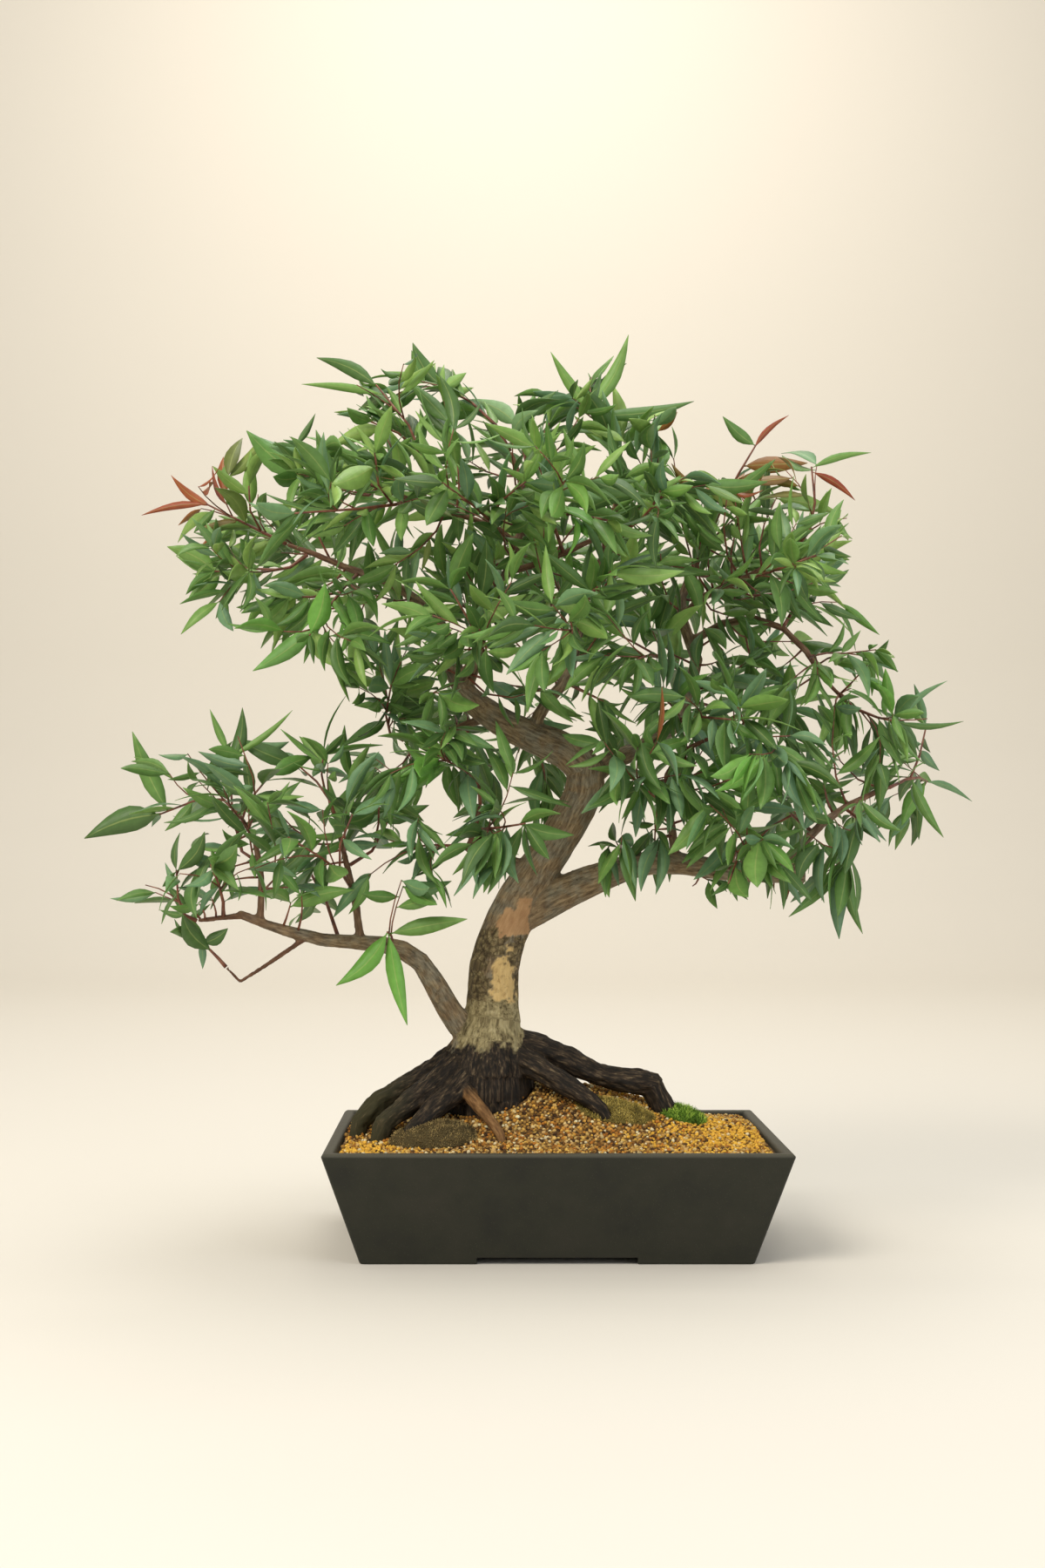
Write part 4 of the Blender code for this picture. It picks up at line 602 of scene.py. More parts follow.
# Each shade is a pattern and its stops; then each layer lies over the one before by a share.
BARK_SHADES = [
    ("old_bark", "streaks", [(0.28, "#463b2c"), (0.45, "#736149"), (0.60, "#917e5f"), (0.78, "#b29f7a")]),
    ("grey_bark", "streaks", [(0.30, "#504c40"), (0.50, "#7c7664"), (0.75, "#a29b84")]),
    ("grey_share", "weathering", [(0.44, 0.0), (0.60, 0.85)]),
    ("spot_share", "spots", [(0.60, 0.0), (0.66, 0.6)]),
    ("thin_wood", "streaks", [(0.30, "#463024"), (0.52, "#6c4c38"), (0.75, "#8b6f57")]),
    ("tan_broad", "weathering", [(0.35, "#a27b53"), (0.65, "#bd9b70")]),
    ("tan_streak", "streaks", [(0.3, "#8d6a4a"), (0.7, "#c6a278")]),
    ("mottled", "spots", [(0.36, "#4a4029"), (0.44, "#7d7150"), (0.54, "#a0946c"), (0.66, "#b9ad86")]),
    ("streak_shadow", "streaks", [(0.35, 0.35), (0.6, 1.0)]),
    ("cream_streak", "streaks", [(0.30, "#a5834f"), (0.50, "#cdae74"), (0.75, "#dcc693")]),
    ("cream_spots", "spots", [(0.36, "#8f7247"), (0.50, "#d3b87e")]),
    ("flake_shade", "spots", [(0.34, "#463a26"), (0.46, "#66583d"), (0.56, "#81724f"), (0.68, "#a29470")]),
    ("flake_edges", "plates", [(0.05, "#2b2217"), (0.16, "#ffffff")]),
    ("root_wood", "streaks", [(0.36, "#100d08"), (0.49, "#241d15"), (0.60, "#433729"), (0.72, "#7d6e54")]),
    ("tan_wood", "streaks", [(0.32, "#4e3620"), (0.52, "#7a5935"), (0.74, "#9c7a50")]),
]
for name, pattern, stops in BARK_SHADES:
    seen[name] = add(tree, "ShaderNodeValToRGB", {"Fac": seen[pattern]}, stops)
BARK_LAYERS = [
    ("bark", "grey_share", "old_bark", "grey_bark", "MIX"),
    ("bark", "spot_share", "bark", "old_spot", "MIX"),
    ("bark", "young", "bark", "thin_wood", "MIX"),
    ("fresh_tan", "half", "tan_broad", "tan_streak", "MIX"),
    ("bark", "tan", "bark", "fresh_tan", "MIX"),
    ("mottled", "third", "mottled", "streak_shadow", "MULTIPLY"),
    ("bark", "streaked", "bark", "mottled", "MIX"),
    ("fresh_cream", "half", "cream_streak", "cream_spots", "MIX"),
    ("bark", "cream", "bark", "fresh_cream", "MIX"),
    ("flakes", "half", "flake_shade", "flake_edges", "MULTIPLY"),
    ("bark", "flaky", "bark", "flakes", "MIX"),
    ("roots", "left_end", "root_wood", "algae", "MIX"),
    ("roots", "tan_root", "roots", "tan_wood", "MIX"),
    ("bark", "dark", "bark", "roots", "MIX"),
]
for name, share, below, above, blend in BARK_LAYERS:
    layers = {"Fac": seen[share], "Color1": seen[below], "Color2": seen[above]}
    seen[name] = add(tree, "ShaderNodeMixRGB", layers, blend_type=blend)
flakes = add(tree, "ShaderNodeBump", {"Height": seen["flaky"], "Strength": 0.8, "Distance": 0.0010})
grooves = {"Height": seen["streaks"], "Normal": flakes, "Strength": 0.7, "Distance": 0.0008}
grooved = add(tree, "ShaderNodeBump", grooves)
feed(tree, shader, {"Base Color": seen["bark"], "Normal": grooved})
feed(tree, shader, {"Roughness": 0.78, "Specular IOR Level": 0.3})
set_down(wood, gum_bark, "bark", "tree_wood")


# The moss. Three live cushions on the soil: a dry brown one at the left front, an olive one and a bright
# green one at the right. Each is a soft mound with thousands of shoots of 2 to 6 mm standing on it.
MOSS_CELL = 0.0012
MOSS_ROUNDS = 4
SHOOT_RADIUS = 0.00045
SHOOTS_PER_SQUARE_METRE = 520000
# Shoots lean at random about the mound's normal and a little upwards, and their feet are sunk in the mound.
SHOOT_LEAN = 0.45
SHOOT_UPWARDS = (0, 0, 0.4)
SHOOT_FOOT = 0.42
# Light and dark patches: their waves in a metre, their weight, and how far each shoot strays from its patch.
MOSS_WAVES = 110
MOSS_PATCH, MOSS_STRAY = 0.7, 0.16
# The tone of the mound between the shoots: the darkest, as painted shade.
SHADE_BETWEEN_SHOOTS = (0.12, 0, 0, 1)
MOSSES = [
    ("moss_brown", "dry_brown_moss", (0.0014, 0.0030), ["#50462d", "#8b7850", "#bba46c"]),
    ("moss_olive", "olive_moss", (0.0016, 0.0036), ["#655a2e", "#a8944a", "#d4bf6c"]),
    ("moss_green", "green_moss", (0.0026, 0.0062), ["#4a6622", "#7aa138", "#b9d85c"]),
]


def shoots_on(mesh, count, draw):
    """Places and directions spread evenly over a mound's upper faces."""
    mesh.calc_loop_triangles()
    corners = read(mesh.vertices)
    triangles = np.array([triangle.vertices[:] for triangle in mesh.loop_triangles])
    a, b, c = (corners[triangles[:, i]] for i in range(3))
    square = np.cross(b - a, c - a)
    areas = np.linalg.norm(square, axis=1) / 2
    facing = square[:, 2] / (2 * areas + 1e-12)
    weights = areas * (facing > -0.1)
    chosen = draw.choice(len(areas), size=int(count * weights.sum()), p=weights / weights.sum())
    u, v = draw.random(len(chosen)), draw.random(len(chosen))
    flipped = u + v > 1
    u[flipped], v[flipped] = 1 - u[flipped], 1 - v[flipped]
    places = a[chosen] + (b - a)[chosen] * u[:, None] + (c - a)[chosen] * v[:, None]
    return places, square[chosen] / (2 * areas[chosen, None])


def repeated(name, template, positions, tones):
    """One mesh of many copies of a template, at positions (copies, points, 3), with a tone for each copy."""
    bm = bmesh.new()
    for _ in range(len(positions)):
        bm.from_mesh(template)
    mesh = bpy.data.meshes.new(name)
    bm.to_mesh(mesh)
    bm.free()
    mesh.vertices.foreach_set("co", np.asarray(positions, float).ravel())
    paint(mesh, "tone", np.repeat(tones, len(template.vertices), axis=0))
    mesh.update()
    return mesh


def template_mesh(name, build):
    """A small mesh to repeat, from a function that builds it."""
    bm = bmesh.new()
    build(bm)
    bmesh.ops.recalc_face_normals(bm, faces=bm.faces)
    mesh = bpy.data.meshes.new(name)
    bm.to_mesh(mesh)
    bm.free()
    return mesh


shoot = template_mesh(
    "moss_shoot",
    lambda bm: bmesh.ops.create_cone(bm, cap_ends=True, segments=3, radius1=1.0, radius2=0.0, depth=1.0),
)
shoot_points = read(shoot.vertices)
x, y, z = shoot_points.T
for node, name, shoot_lengths, shades in MOSSES:
    mound = skinned(name + "_mound", node, MOSS_CELL, MOSS_ROUNDS)
    draw = np.random.default_rng(len(node) * 17)
    places, normals = shoots_on(mound.data, SHOOTS_PER_SQUARE_METRE, draw)
    lean = normals + draw.normal(0, SHOOT_LEAN, normals.shape) + SHOOT_UPWARDS
    lean /= np.linalg.norm(lean, axis=1)[:, None]
    first = np.cross(lean, (0.31, 0.95, 0.05))
    first /= np.linalg.norm(first, axis=1)[:, None]
    second = np.cross(lean, first)
    lengths = draw.uniform(*shoot_lengths, len(places))
    round_it = x[None, :, None] * first[:, None] + y[None, :, None] * second[:, None]
    positions = places[:, None] + SHOOT_RADIUS * round_it
    positions += ((z + SHOOT_FOOT)[None, :] * lengths[:, None])[..., None] * lean[:, None]
    patches = np.array([noise.noise(tuple(place * MOSS_WAVES)) for place in places])
    tones = np.ones((len(places), 4))
    strayed = 0.5 + MOSS_PATCH * patches + draw.normal(0, MOSS_STRAY, len(places))
    tones[:, 0] = np.clip(strayed, 0, 1)
    # The mound between the shoots is painted in the darkest tone, as painted shade.
    shaded_mound = np.tile(SHADE_BETWEEN_SHOOTS, (len(mound.data.vertices), 1))
    bm = bmesh.new()
    bm.from_mesh(mound.data)
    bm.from_mesh(repeated(name + "_shoots", shoot, positions, tones))
    bm.to_mesh(mound.data)
    bm.free()
    if "tone" in mound.data.attributes:
        mound.data.attributes.remove(mound.data.attributes["tone"])
    paint(mound.data, "tone", np.concatenate([shaded_mound, np.repeat(tones, len(shoot_points), axis=0)]))
    # Living moss: each shoot has its own tone, the mound between the shoots is painted darkest as painted
    # shade, and its surface is soft and matt.
    living, tree, shader, place = material(name)
    tone = add(tree, "ShaderNodeAttribute", attribute_name="tone")
    shade_share = add(tree, "ShaderNodeSeparateColor", {"Color": tone})
    shade = add(tree, "ShaderNodeValToRGB", {"Fac": shade_share}, list(zip((0.12, 0.5, 0.9), shades)))
    feed(tree, shader, {"Base Color": shade, "Roughness": 0.9, "Specular IOR Level": 0.15})
    set_down(mound, living, node, node)


# The loose top layer of the soil. Thousands of grains of fired clay, pumice and bark, 2.5 to 4 mm across,
# lie over the packed soil between the roots and the pot's walls.
GRAIN_STEP = 0.0037
GRAIN_RADII = (0.0013, 0.0023)
GRAIN_BED = (0.1885, 0.1285)
# Rows lie closer than grains in a row. A grain strays sideways and up, and only lies where the wood is
# further away than this share of its radius. Its corners stray too, and it is squashed along three axes.
ROW_SHARE = 0.87
GRAIN_STRAY = 0.0005
GRAIN_LIFT = (-0.0003, 0.0011)
GRAIN_CLEARANCE = 0.9
CORNER_STRAY = 0.16
SQUASHED = ((0.75, 0.75, 0.62), (1.2, 1.2, 1.0))
GRAIN_SHADES = [
    "#a8803f", "#c4994f", "#d8b46a", "#e3c98c", "#b98f4c", "#8f6a35", "#c78f3c", "#7a5428",
    "#efe0b4", "#5a4226", "#b5762f", "#d9a84e", "#9c6a2c", "#caa66a", "#4a3320", "#e0b860",
]
SHADE_RANGE = (0.8, 1.3)
# Golden grains gather about these places: x, y and how wide, and at most this share of the grains is golden.
GOLD_CORNERS = [(0.160, -0.05, 0.065), (-0.175, 0.10, 0.05), (-0.17, -0.10, 0.035)]
GOLD_SHARE = 0.75
GOLDEN = "#eeba48"


def nearness(x, y, spots):
    """How near a place is to the nearest of some spots (x, y, spread): 1 in its middle, less around it."""
    return max(math.exp(-(((x - a) ** 2 + (y - b) ** 2) / spread**2)) for a, b, spread in spots)


grain = template_mesh("grit_grain", lambda bm: bmesh.ops.create_icosphere(bm, subdivisions=1, radius=1.0))
grain_points = read(grain.vertices)
draw = np.random.default_rng(41)
wood_faces = BVHTree.FromPolygons(
    [vertex.co for vertex in solids["tree_wood"].data.vertices],
    [face.vertices for face in solids["tree_wood"].data.polygons],
)
grain_places, grain_tones, grain_sizes = [], [], []
for number, row in enumerate(np.arange(-GRAIN_BED[1], GRAIN_BED[1], GRAIN_STEP * ROW_SHARE)):
    for column in np.arange(-GRAIN_BED[0], GRAIN_BED[0], GRAIN_STEP):
        x = min(column + (number % 2) * GRAIN_STEP / 2 + draw.normal(0, GRAIN_STRAY), GRAIN_BED[0])
        y = min(row + draw.normal(0, GRAIN_STRAY), GRAIN_BED[1])
        size = draw.uniform(*GRAIN_RADII)
        z = soil_height(x, y) + draw.uniform(*GRAIN_LIFT)
        if wood_faces.find_nearest((x, y, z), size * GRAIN_CLEARANCE)[0] is not None:
            continue
        grain_places.append((x, y, z))
        grain_sizes.append(size)
        shade = GRAIN_SHADES[draw.integers(len(GRAIN_SHADES))]
        golden = draw.random() < GOLD_SHARE * nearness(x, y, GOLD_CORNERS)
        tone = np.array(colour(GOLDEN if golden else shade))
        grain_tones.append(np.clip(tone * draw.uniform(*SHADE_RANGE), 0, 1))
grain_places = np.array(grain_places)
turns = np.linalg.qr(draw.normal(size=(len(grain_places), 3, 3)))[0]
strays = draw.normal(size=(len(grain_places), len(grain_points), 1))
shapes = grain_points[None] * (1 + CORNER_STRAY * strays)
shapes = shapes * draw.uniform(*SQUASHED, (len(grain_places), 1, 3))
shapes = np.einsum("nij,nkj->nki", turns, shapes)
positions = grain_places[:, None] + shapes * np.array(grain_sizes)[:, None, None]
loose_grit = shown("loose_grit", repeated("loose_grit", grain, positions, np.array(grain_tones)))

# Fired clay and pumice: dull, porous, each grain with its own shade from cream through gold to dark brown.
porous, tree, shader, place = material("porous_fired_clay_grit")
tone = add(tree, "ShaderNodeAttribute", attribute_name="tone")
pores = add(tree, "ShaderNodeTexNoise", {"Vector": place, "Scale": 900.0, "Detail": 3.0})
pore_shadow = add(tree, "ShaderNodeValToRGB", {"Fac": pores}, [(0.3, 0.45), (0.7, 1.0)])
pored = {"Fac": 0.5, "Color1": tone, "Color2": pore_shadow}
pored = add(tree, "ShaderNodeMixRGB", pored, blend_type="MULTIPLY")
pitted = add(tree, "ShaderNodeBump", {"Height": pores, "Strength": 0.5, "Distance": 0.0005})
feed(tree, shader, {"Base Color": pored, "Normal": pitted, "Roughness": 0.88, "Specular IOR Level": 0.25})
set_down(loose_grit, porous, "soil_grit")


# The leafy sprays. Each is a main twig with side twigs, seated on its limb, and its leaves. They are grown by
# the rule and the draws of their solids, and finer twigs and more leaves then fill the room that is left.
# Live eucalyptus: soft reddish shoots, and leathery lance-shaped leaves that sit in pairs or alternate. A row
# is the spray, its limb, where it sits, the main twig's tip, its side twigs, and how far it droops.
SPRAYS = [
    ("low_1", "left_up_outer", 1.00, (-0.362, -0.030, 0.395), 1, 0.3),
    ("low_2", "left_up_outer", 0.55, (-0.298, -0.036, 0.453), 1, 0.2),
    ("low_3", "left_tip", 1.00, (-0.335, -0.105, 0.345), 1, 0.4),
    ("low_4", "left_tip", 0.45, (-0.300, -0.139, 0.350), 1, 0.5),
    ("low_5", "left_up_inner", 1.00, (-0.236, -0.008, 0.440), 1, 0.2),
    ("low_6", "left_up_inner", 0.62, (-0.150, 0.020, 0.424), 1, 0.6),
    ("low_7", "left_up_inner", 0.45, (-0.233, -0.140, 0.374), 1, 0.5),
    ("low_8", "left_limb", 0.66, (-0.262, 0.060, 0.385), 1, 0.5),
    ("low_9", "left_hanging_twig", 1.00, (-0.316, -0.090, 0.282), 0, 0.2),
    ("low_10", "left_limb", 0.50, (-0.150, -0.090, 0.290), 0, 0.7),
    ("mid_1", "hollow_twig", 1.00, (-0.104, -0.062, 0.446), 1, 0.6),
    ("mid_2", "hollow_twig", 0.60, (-0.124, -0.058, 0.366), 0, 0.7),
    ("mid_3", "hollow_twig", 0.80, (-0.028, -0.106, 0.386), 1, 0.6),
    ("mid_4", "crook_twig", 1.00, (-0.150, -0.020, 0.515), 1, 0.4),
    ("mid_5", "crook_twig", 0.60, (-0.140, 0.094, 0.430), 1, 0.6),
    ("left_1", "trunk", 1.00, (-0.328, 0.030, 0.690), 1, 0.1),
    ("left_2", "trunk", 0.97, (-0.318, 0.014, 0.624), 1, 0.4),
    ("left_3", "trunk", 0.90, (-0.222, -0.060, 0.556), 1, 0.5),
    ("left_4", "trunk", 0.86, (-0.240, 0.128, 0.600), 1, 0.5),
    ("left_5", "leader_left", 1.00, (-0.229, -0.070, 0.698), 1, 0.2),
    ("left_6", "leader_left", 0.65, (-0.163, -0.040, 0.787), 1, 0.0),
    ("left_7", "leader_left", 0.75, (-0.226, -0.160, 0.650), 1, 0.4),
    ("left_8", "leader_left", 0.50, (-0.180, 0.090, 0.738), 1, 0.1),
    ("left_9", "trunk", 0.93, (-0.280, 0.160, 0.676), 1, 0.3),
    ("top_1", "leader", 1.00, (-0.107, 0.000, 0.797), 1, 0.0),
    ("top_2", "leader", 0.85, (-0.033, 0.059, 0.772), 1, 0.0),
    ("top_3", "leader", 0.60, (-0.100, -0.150, 0.678), 1, 0.3),
    ("top_4", "middle_riser", 1.00, (0.034, 0.010, 0.777), 1, 0.0),
    ("top_5", "middle_riser", 0.85, (0.098, 0.000, 0.715), 1, 0.1),
    ("top_6", "leader_right", 1.00, (0.091, -0.102, 0.679), 1, 0.3),
    ("top_7", "leader_right", 0.50, (0.004, -0.180, 0.674), 1, 0.3),
    ("top_8", "leader", 0.45, (-0.020, 0.180, 0.690), 1, 0.3),
    ("top_9", "middle_riser", 0.60, (0.060, 0.166, 0.640), 1, 0.4),
    ("centre_1", "middle_riser", 0.45, (0.010, -0.186, 0.545), 1, 0.6),
    ("centre_2", "leader", 0.15, (-0.068, -0.150, 0.552), 1, 0.5),
    ("centre_3", "trunk", 0.55, (-0.040, 0.150, 0.480), 1, 0.6),
    ("right_1", "right_riser", 1.00, (0.196, 0.050, 0.750), 1, 0.0),
    ("right_2", "right_upper", 1.00, (0.236, -0.030, 0.714), 1, 0.1),
    ("right_3", "right_upper", 0.65, (0.228, -0.105, 0.622), 1, 0.4),
    ("right_4", "right_arch", 0.50, (0.246, 0.090, 0.632), 1, 0.3),
    ("right_5", "right_arch", 1.00, (0.318, -0.020, 0.480), 1, 0.4),
    ("right_6", "right_riser", 0.25, (0.150, -0.130, 0.476), 1, 0.6),
    ("right_7", "right_riser", 0.85, (0.180, 0.190, 0.640), 1, 0.3),
    ("right_8", "right_riser", 0.50, (0.070, -0.110, 0.530), 1, 0.6),
    ("right_9", "right_riser", 0.45, (0.210, 0.180, 0.520), 1, 0.5),
    ("end_1", "limb_end", 1.00, (0.380, 0.140, 0.430), 1, 0.5),
    ("end_2", "limb_end", 0.55, (0.262, -0.070, 0.352), 0, 0.9),
    ("end_3", "limb_twig", 1.00, (0.196, -0.150, 0.440), 1, 0.6),
    ("end_4", "limb_twig", 0.60, (0.066, -0.120, 0.424), 1, 0.7),
    ("end_5", "right_limb", 0.75, (0.176, -0.140, 0.372), 1, 0.7),
    ("end_6", "limb_end", 0.30, (0.236, 0.100, 0.410), 1, 0.6),
]
# Leaves that stand out of the outline: spray, how far along its main twig, the leaf's tip and its width.
STANDOUT_LEAVES = [
    ("low_1", 0.985, (-0.433, -0.020, 0.373), 0.0241),
    ("low_1", 0.9, (-0.387, -0.030, 0.471), 0.0176),
    ("low_2", 0.985, (-0.315, -0.036, 0.491), 0.0072),
    ("low_2", 0.95, (-0.239, -0.040, 0.490), 0.0064),
    ("low_2", 0.88, (-0.286, -0.030, 0.493), 0.0128),
    ("low_9", 0.98, (-0.314, -0.090, 0.257), 0.0070),
    ("low_9", 0.9, (-0.292, -0.086, 0.293), 0.0124),
    ("low_10", 0.98, (-0.195, -0.098, 0.243), 0.0169),
    ("low_10", 0.9, (-0.132, -0.100, 0.208), 0.0154),
    ("low_10", 0.82, (-0.079, -0.104, 0.302), 0.0153),
    ("left_1", 0.985, (-0.390, 0.036, 0.680), 0.0074),
    ("left_1", 0.93, (-0.361, 0.030, 0.717), 0.0091),
    ("left_1", 0.88, (-0.338, 0.020, 0.661), 0.0082),
    ("left_2", 0.985, (-0.362, 0.014, 0.647), 0.0196),
    ("left_2", 0.93, (-0.343, 0.010, 0.595), 0.0163),
    ("left_3", 0.985, (-0.207, -0.070, 0.602), 0.0203),
    ("left_3", 0.93, (-0.197, -0.066, 0.527), 0.0188),
    ("left_3", 0.87, (-0.273, -0.060, 0.524), 0.0173),
    ("left_5", 0.985, (-0.277, -0.074, 0.738), 0.0218),
    ("left_6", 0.985, (-0.217, -0.042, 0.811), 0.0135),
    ("left_6", 0.9, (-0.230, -0.050, 0.785), 0.0079),
    ("top_1", 0.985, (-0.131, 0.000, 0.835), 0.0162),
    ("top_1", 0.93, (-0.081, 0.004, 0.808), 0.0114),
    ("top_4", 0.985, (0.071, 0.010, 0.845), 0.0139),
    ("top_4", 0.96, (-0.002, 0.010, 0.829), 0.0106),
    ("top_4", 0.9, (0.133, 0.016, 0.784), 0.0131),
    ("right_1", 0.985, (0.164, 0.050, 0.777), 0.0125),
    ("right_1", 0.95, (0.228, 0.054, 0.779), 0.0058),
    ("right_2", 0.985, (0.290, -0.034, 0.726), 0.0072),
    ("right_2", 0.94, (0.276, -0.030, 0.683), 0.0072),
    ("right_4", 0.985, (0.289, 0.084, 0.645), 0.0170),
    ("right_5", 0.985, (0.362, -0.024, 0.518), 0.0064),
    ("right_5", 0.95, (0.378, -0.020, 0.481), 0.0064),
    ("right_5", 0.9, (0.323, -0.026, 0.449), 0.0144),
    ("mid_3", 0.98, (-0.061, -0.112, 0.324), 0.0137),
    ("end_1", 0.985, (0.433, 0.176, 0.411), 0.0071),
    ("end_1", 0.93, (0.352, 0.130, 0.386), 0.0165),
    ("end_1", 0.42, (0.379, 0.066, 0.374), 0.0109),
    ("end_2", 0.985, (0.253, -0.078, 0.283), 0.0171),
    ("end_2", 0.93, (0.277, -0.062, 0.287), 0.0118),
    ("end_2", 0.86, (0.207, -0.084, 0.303), 0.0116),
]
GAP = 0.0003
SPRAY_TWIG_RADIUS = 0.0019
SIDE_TWIG_RADIUS = 0.0013
TWIG_END_RADIUS = 0.0008
TWIG_SPANS = 3
SIDE_TWIG_SPANS = 2
# A three-sided rod has to reach this many radii out to hold a round twig.
ROD_REACH = 1.8
# A main twig leaves the bark square for a share of its length and lifts a little. A side twig starts within
# these shares of it, is this share of its length, and is kept between two lengths.
SQUARE_SHARE = 0.4
TWIG_LIFT = 0.05
SIDE_TWIG_STARTS = (0.28, 0.40)
SIDE_TWIG_SHARE = 0.52
SIDE_TWIG_LENGTHS = (0.038, 0.085)
SIDE_TWIG_SAG = 0.16
SIDE_TWIG_FORWARD = 0.8
SIDE_TWIG_LIFT = 0.15
SIDE_TWIG_RANGE = (0.85, 1.15)
LEAF_LENGTHS = (0.040, 0.070)
LEAF_WIDTH_SHARES = (0.23, 0.32)
LEAF_ARCH = 0.07
BLADE_THICKNESS = 0.0009
# Sections of a leaf from its root to its tip: shares of the length, of the width and of the thickness.
LEAF_SECTIONS = [(0.0, 0.09, 0.9), (0.34, 1.0, 1.0), (0.68, 0.68, 0.9)]
LEAST_LEAF_WIDTH = 0.0011
# Share of the leaves that hang with an edge up, and how far a standout leaf turns from that with each try.
EDGE_UP_SHARE = 0.55
STANDOUT_TURN = 0.05
STANDOUT_STRAY = 0.1
# How a leaf by rule lies: its turn about the twig and what each next place adds, how far it leans along the
# twig near the tip and elsewhere, how far sideways, how far down for its droop, and how its roll strays.
LEAF_TURN, NEXT_TURN = 0.9, 0.8
TIP_FORWARD, LEAF_FORWARD = (0.8, 1.5), (0.4, 1.0)
LEAF_SIDEWAYS = (0.5, 1.0)
LEAF_DROOP, DROOP_RANGE = 1.2, (0.5, 1.2)
LEAF_ROLL = 0.7
# Room kept round a twig or leaf, left out over the share of its length by which it is rooted in its parent.
CLEARANCE = 0.0007
TWIG_ROOTED = 0.04
SIDE_TWIG_ROOTED = 0.15
LEAF_ROOTED = 0.05
# A twig or leaf that has no room is tried again with other draws. A seat moves by a step, a tip wanders.
TRIES = 24
SEAT_STEP = 0.004
TIP_WANDER = 0.003
# The crown stays within half this depth of the middle, and apart from its standout leaves within this
# outline of (x, z) points, which is that of the middle depth and spreads towards the back from a centre.
CROWN_DEPTH = 0.472
CROWN_SPREAD = 0.535
CROWN_CENTRE = (-0.061, 0.371)
CROWN_OUTLINE = [
    (-0.179, 0.487), (-0.214, 0.528), (-0.274, 0.536), (-0.272, 0.568), (-0.347, 0.563), (-0.361, 0.641),
    (-0.344, 0.680), (-0.317, 0.723), (-0.284, 0.751), (-0.240, 0.749), (-0.214, 0.785), (-0.158, 0.814),
    (-0.130, 0.830), (-0.081, 0.807), (-0.067, 0.789), (0.004, 0.791), (0.036, 0.809), (0.071, 0.836),
    (0.071, 0.789), (0.126, 0.773), (0.100, 0.745), (0.126, 0.718), (0.166, 0.706), (0.215, 0.736),
    (0.252, 0.720), (0.282, 0.674), (0.274, 0.594), (0.304, 0.568), (0.329, 0.520), (0.360, 0.511),
    (0.351, 0.468), (0.365, 0.424), (0.333, 0.379), (0.361, 0.355), (0.296, 0.355), (0.288, 0.284),
    (0.264, 0.284), (0.248, 0.314), (0.215, 0.300), (0.158, 0.314), (0.093, 0.310), (0.036, 0.318),
    (-0.029, 0.326), (-0.102, 0.306), (-0.167, 0.343), (-0.191, 0.294), (-0.248, 0.282), (-0.321, 0.257),
    (-0.370, 0.294), (-0.382, 0.334), (-0.349, 0.365), (-0.394, 0.387), (-0.410, 0.424), (-0.394, 0.464),
    (-0.321, 0.458), (-0.264, 0.482), (-0.223, 0.464),
]


def quadratic(start, control, end, share):
    """A point on the bow from start to end that a control point draws aside."""
    return start.lerp(control, share).lerp(control.lerp(end, share), share)


def point_along(route, share):
    """The point, direction and radius at a share of a route's length."""
    points = [Vector(point[:3]) for point in route]
    lengths = [(b - a).length for a, b in zip(points, points[1:])]
    left = share * sum(lengths)
    for i, length in enumerate(lengths):
        if left <= length or i == len(lengths) - 1:
            part = min(left / length, 1.0)
            place = points[i].lerp(points[i + 1], part)
            radius = route[i][3] + (route[i + 1][3] - route[i][3]) * part
            return place, (points[i + 1] - points[i]).normalized(), radius
        left -= length


def across(direction):
    """A vector square to a direction, level where it can be."""
    level = direction.cross(Vector((0, 0, 1)))
    if level.length < 0.1:
        level = direction.cross(Vector((0, 1, 0)))
    return level.normalized()


def prism(sections, tip=None):
    """A three-sided loft. A section is (centre, sideways, upward, half width, thickness)."""
    corners = []
    for centre, sideways, upward, half_width, thickness in sections:
        corners.append(centre + sideways * half_width + upward * thickness / 3)
        corners.append(centre - sideways * half_width + upward * thickness / 3)
        corners.append(centre - upward * thickness * 2 / 3)
    faces = [(0, 1, 2)]
    for start in range(0, len(corners) - 3, 3):
        for i in range(3):
            j = (i + 1) % 3
            faces.append((start + i, start + 3 + i, start + 3 + j, start + j))
    last = len(corners) - 3
    if tip is None:
        faces.append((last + 2, last + 1, last))
    else:
        corners.append(tip)
        faces += [(last + i, last + 3, last + (i + 1) % 3) for i in range(3)]
    return corners, faces


def blade(root, tip, roll, width, first=0.0, spare=0.0):
    """A lance-shaped leaf from root to tip, arched, and turned by the roll about its length."""
    along = (tip - root).normalized()
    length = (tip - root).length
    sideways = Matrix.Rotation(roll, 3, along) @ across(along)
    upward = sideways.cross(along)
    sections = []
    for share, breadth, depth in LEAF_SECTIONS:
        share = max(share, first)
        centre = root.lerp(tip, share) + upward * length * LEAF_ARCH * math.sin(math.pi * share)
        half_width = max(width * breadth, LEAST_LEAF_WIDTH) / 2 + spare
        sections.append((centre, sideways, upward, half_width, BLADE_THICKNESS * depth + 2 * spare))
    return prism(sections, tip + along * spare)


def rod(route, first=0.0, spare=0.0):
    """A twig's outer shape with some spare room round it, from a share of its length on."""
    begin = point_along(route, first)[0]
    points = [begin] + [Vector(point[:3]) for point in route[1:]]
    sections = []
    for i, centre in enumerate(points):
        direction = (points[min(i + 1, len(points) - 1)] - points[max(i - 1, 0)]).normalized()
        sideways = across(direction)
        reach = ROD_REACH * (route[i][3] + spare)
        sections.append((centre, sideways, sideways.cross(direction), reach, ROD_REACH * reach))
    return prism(sections)


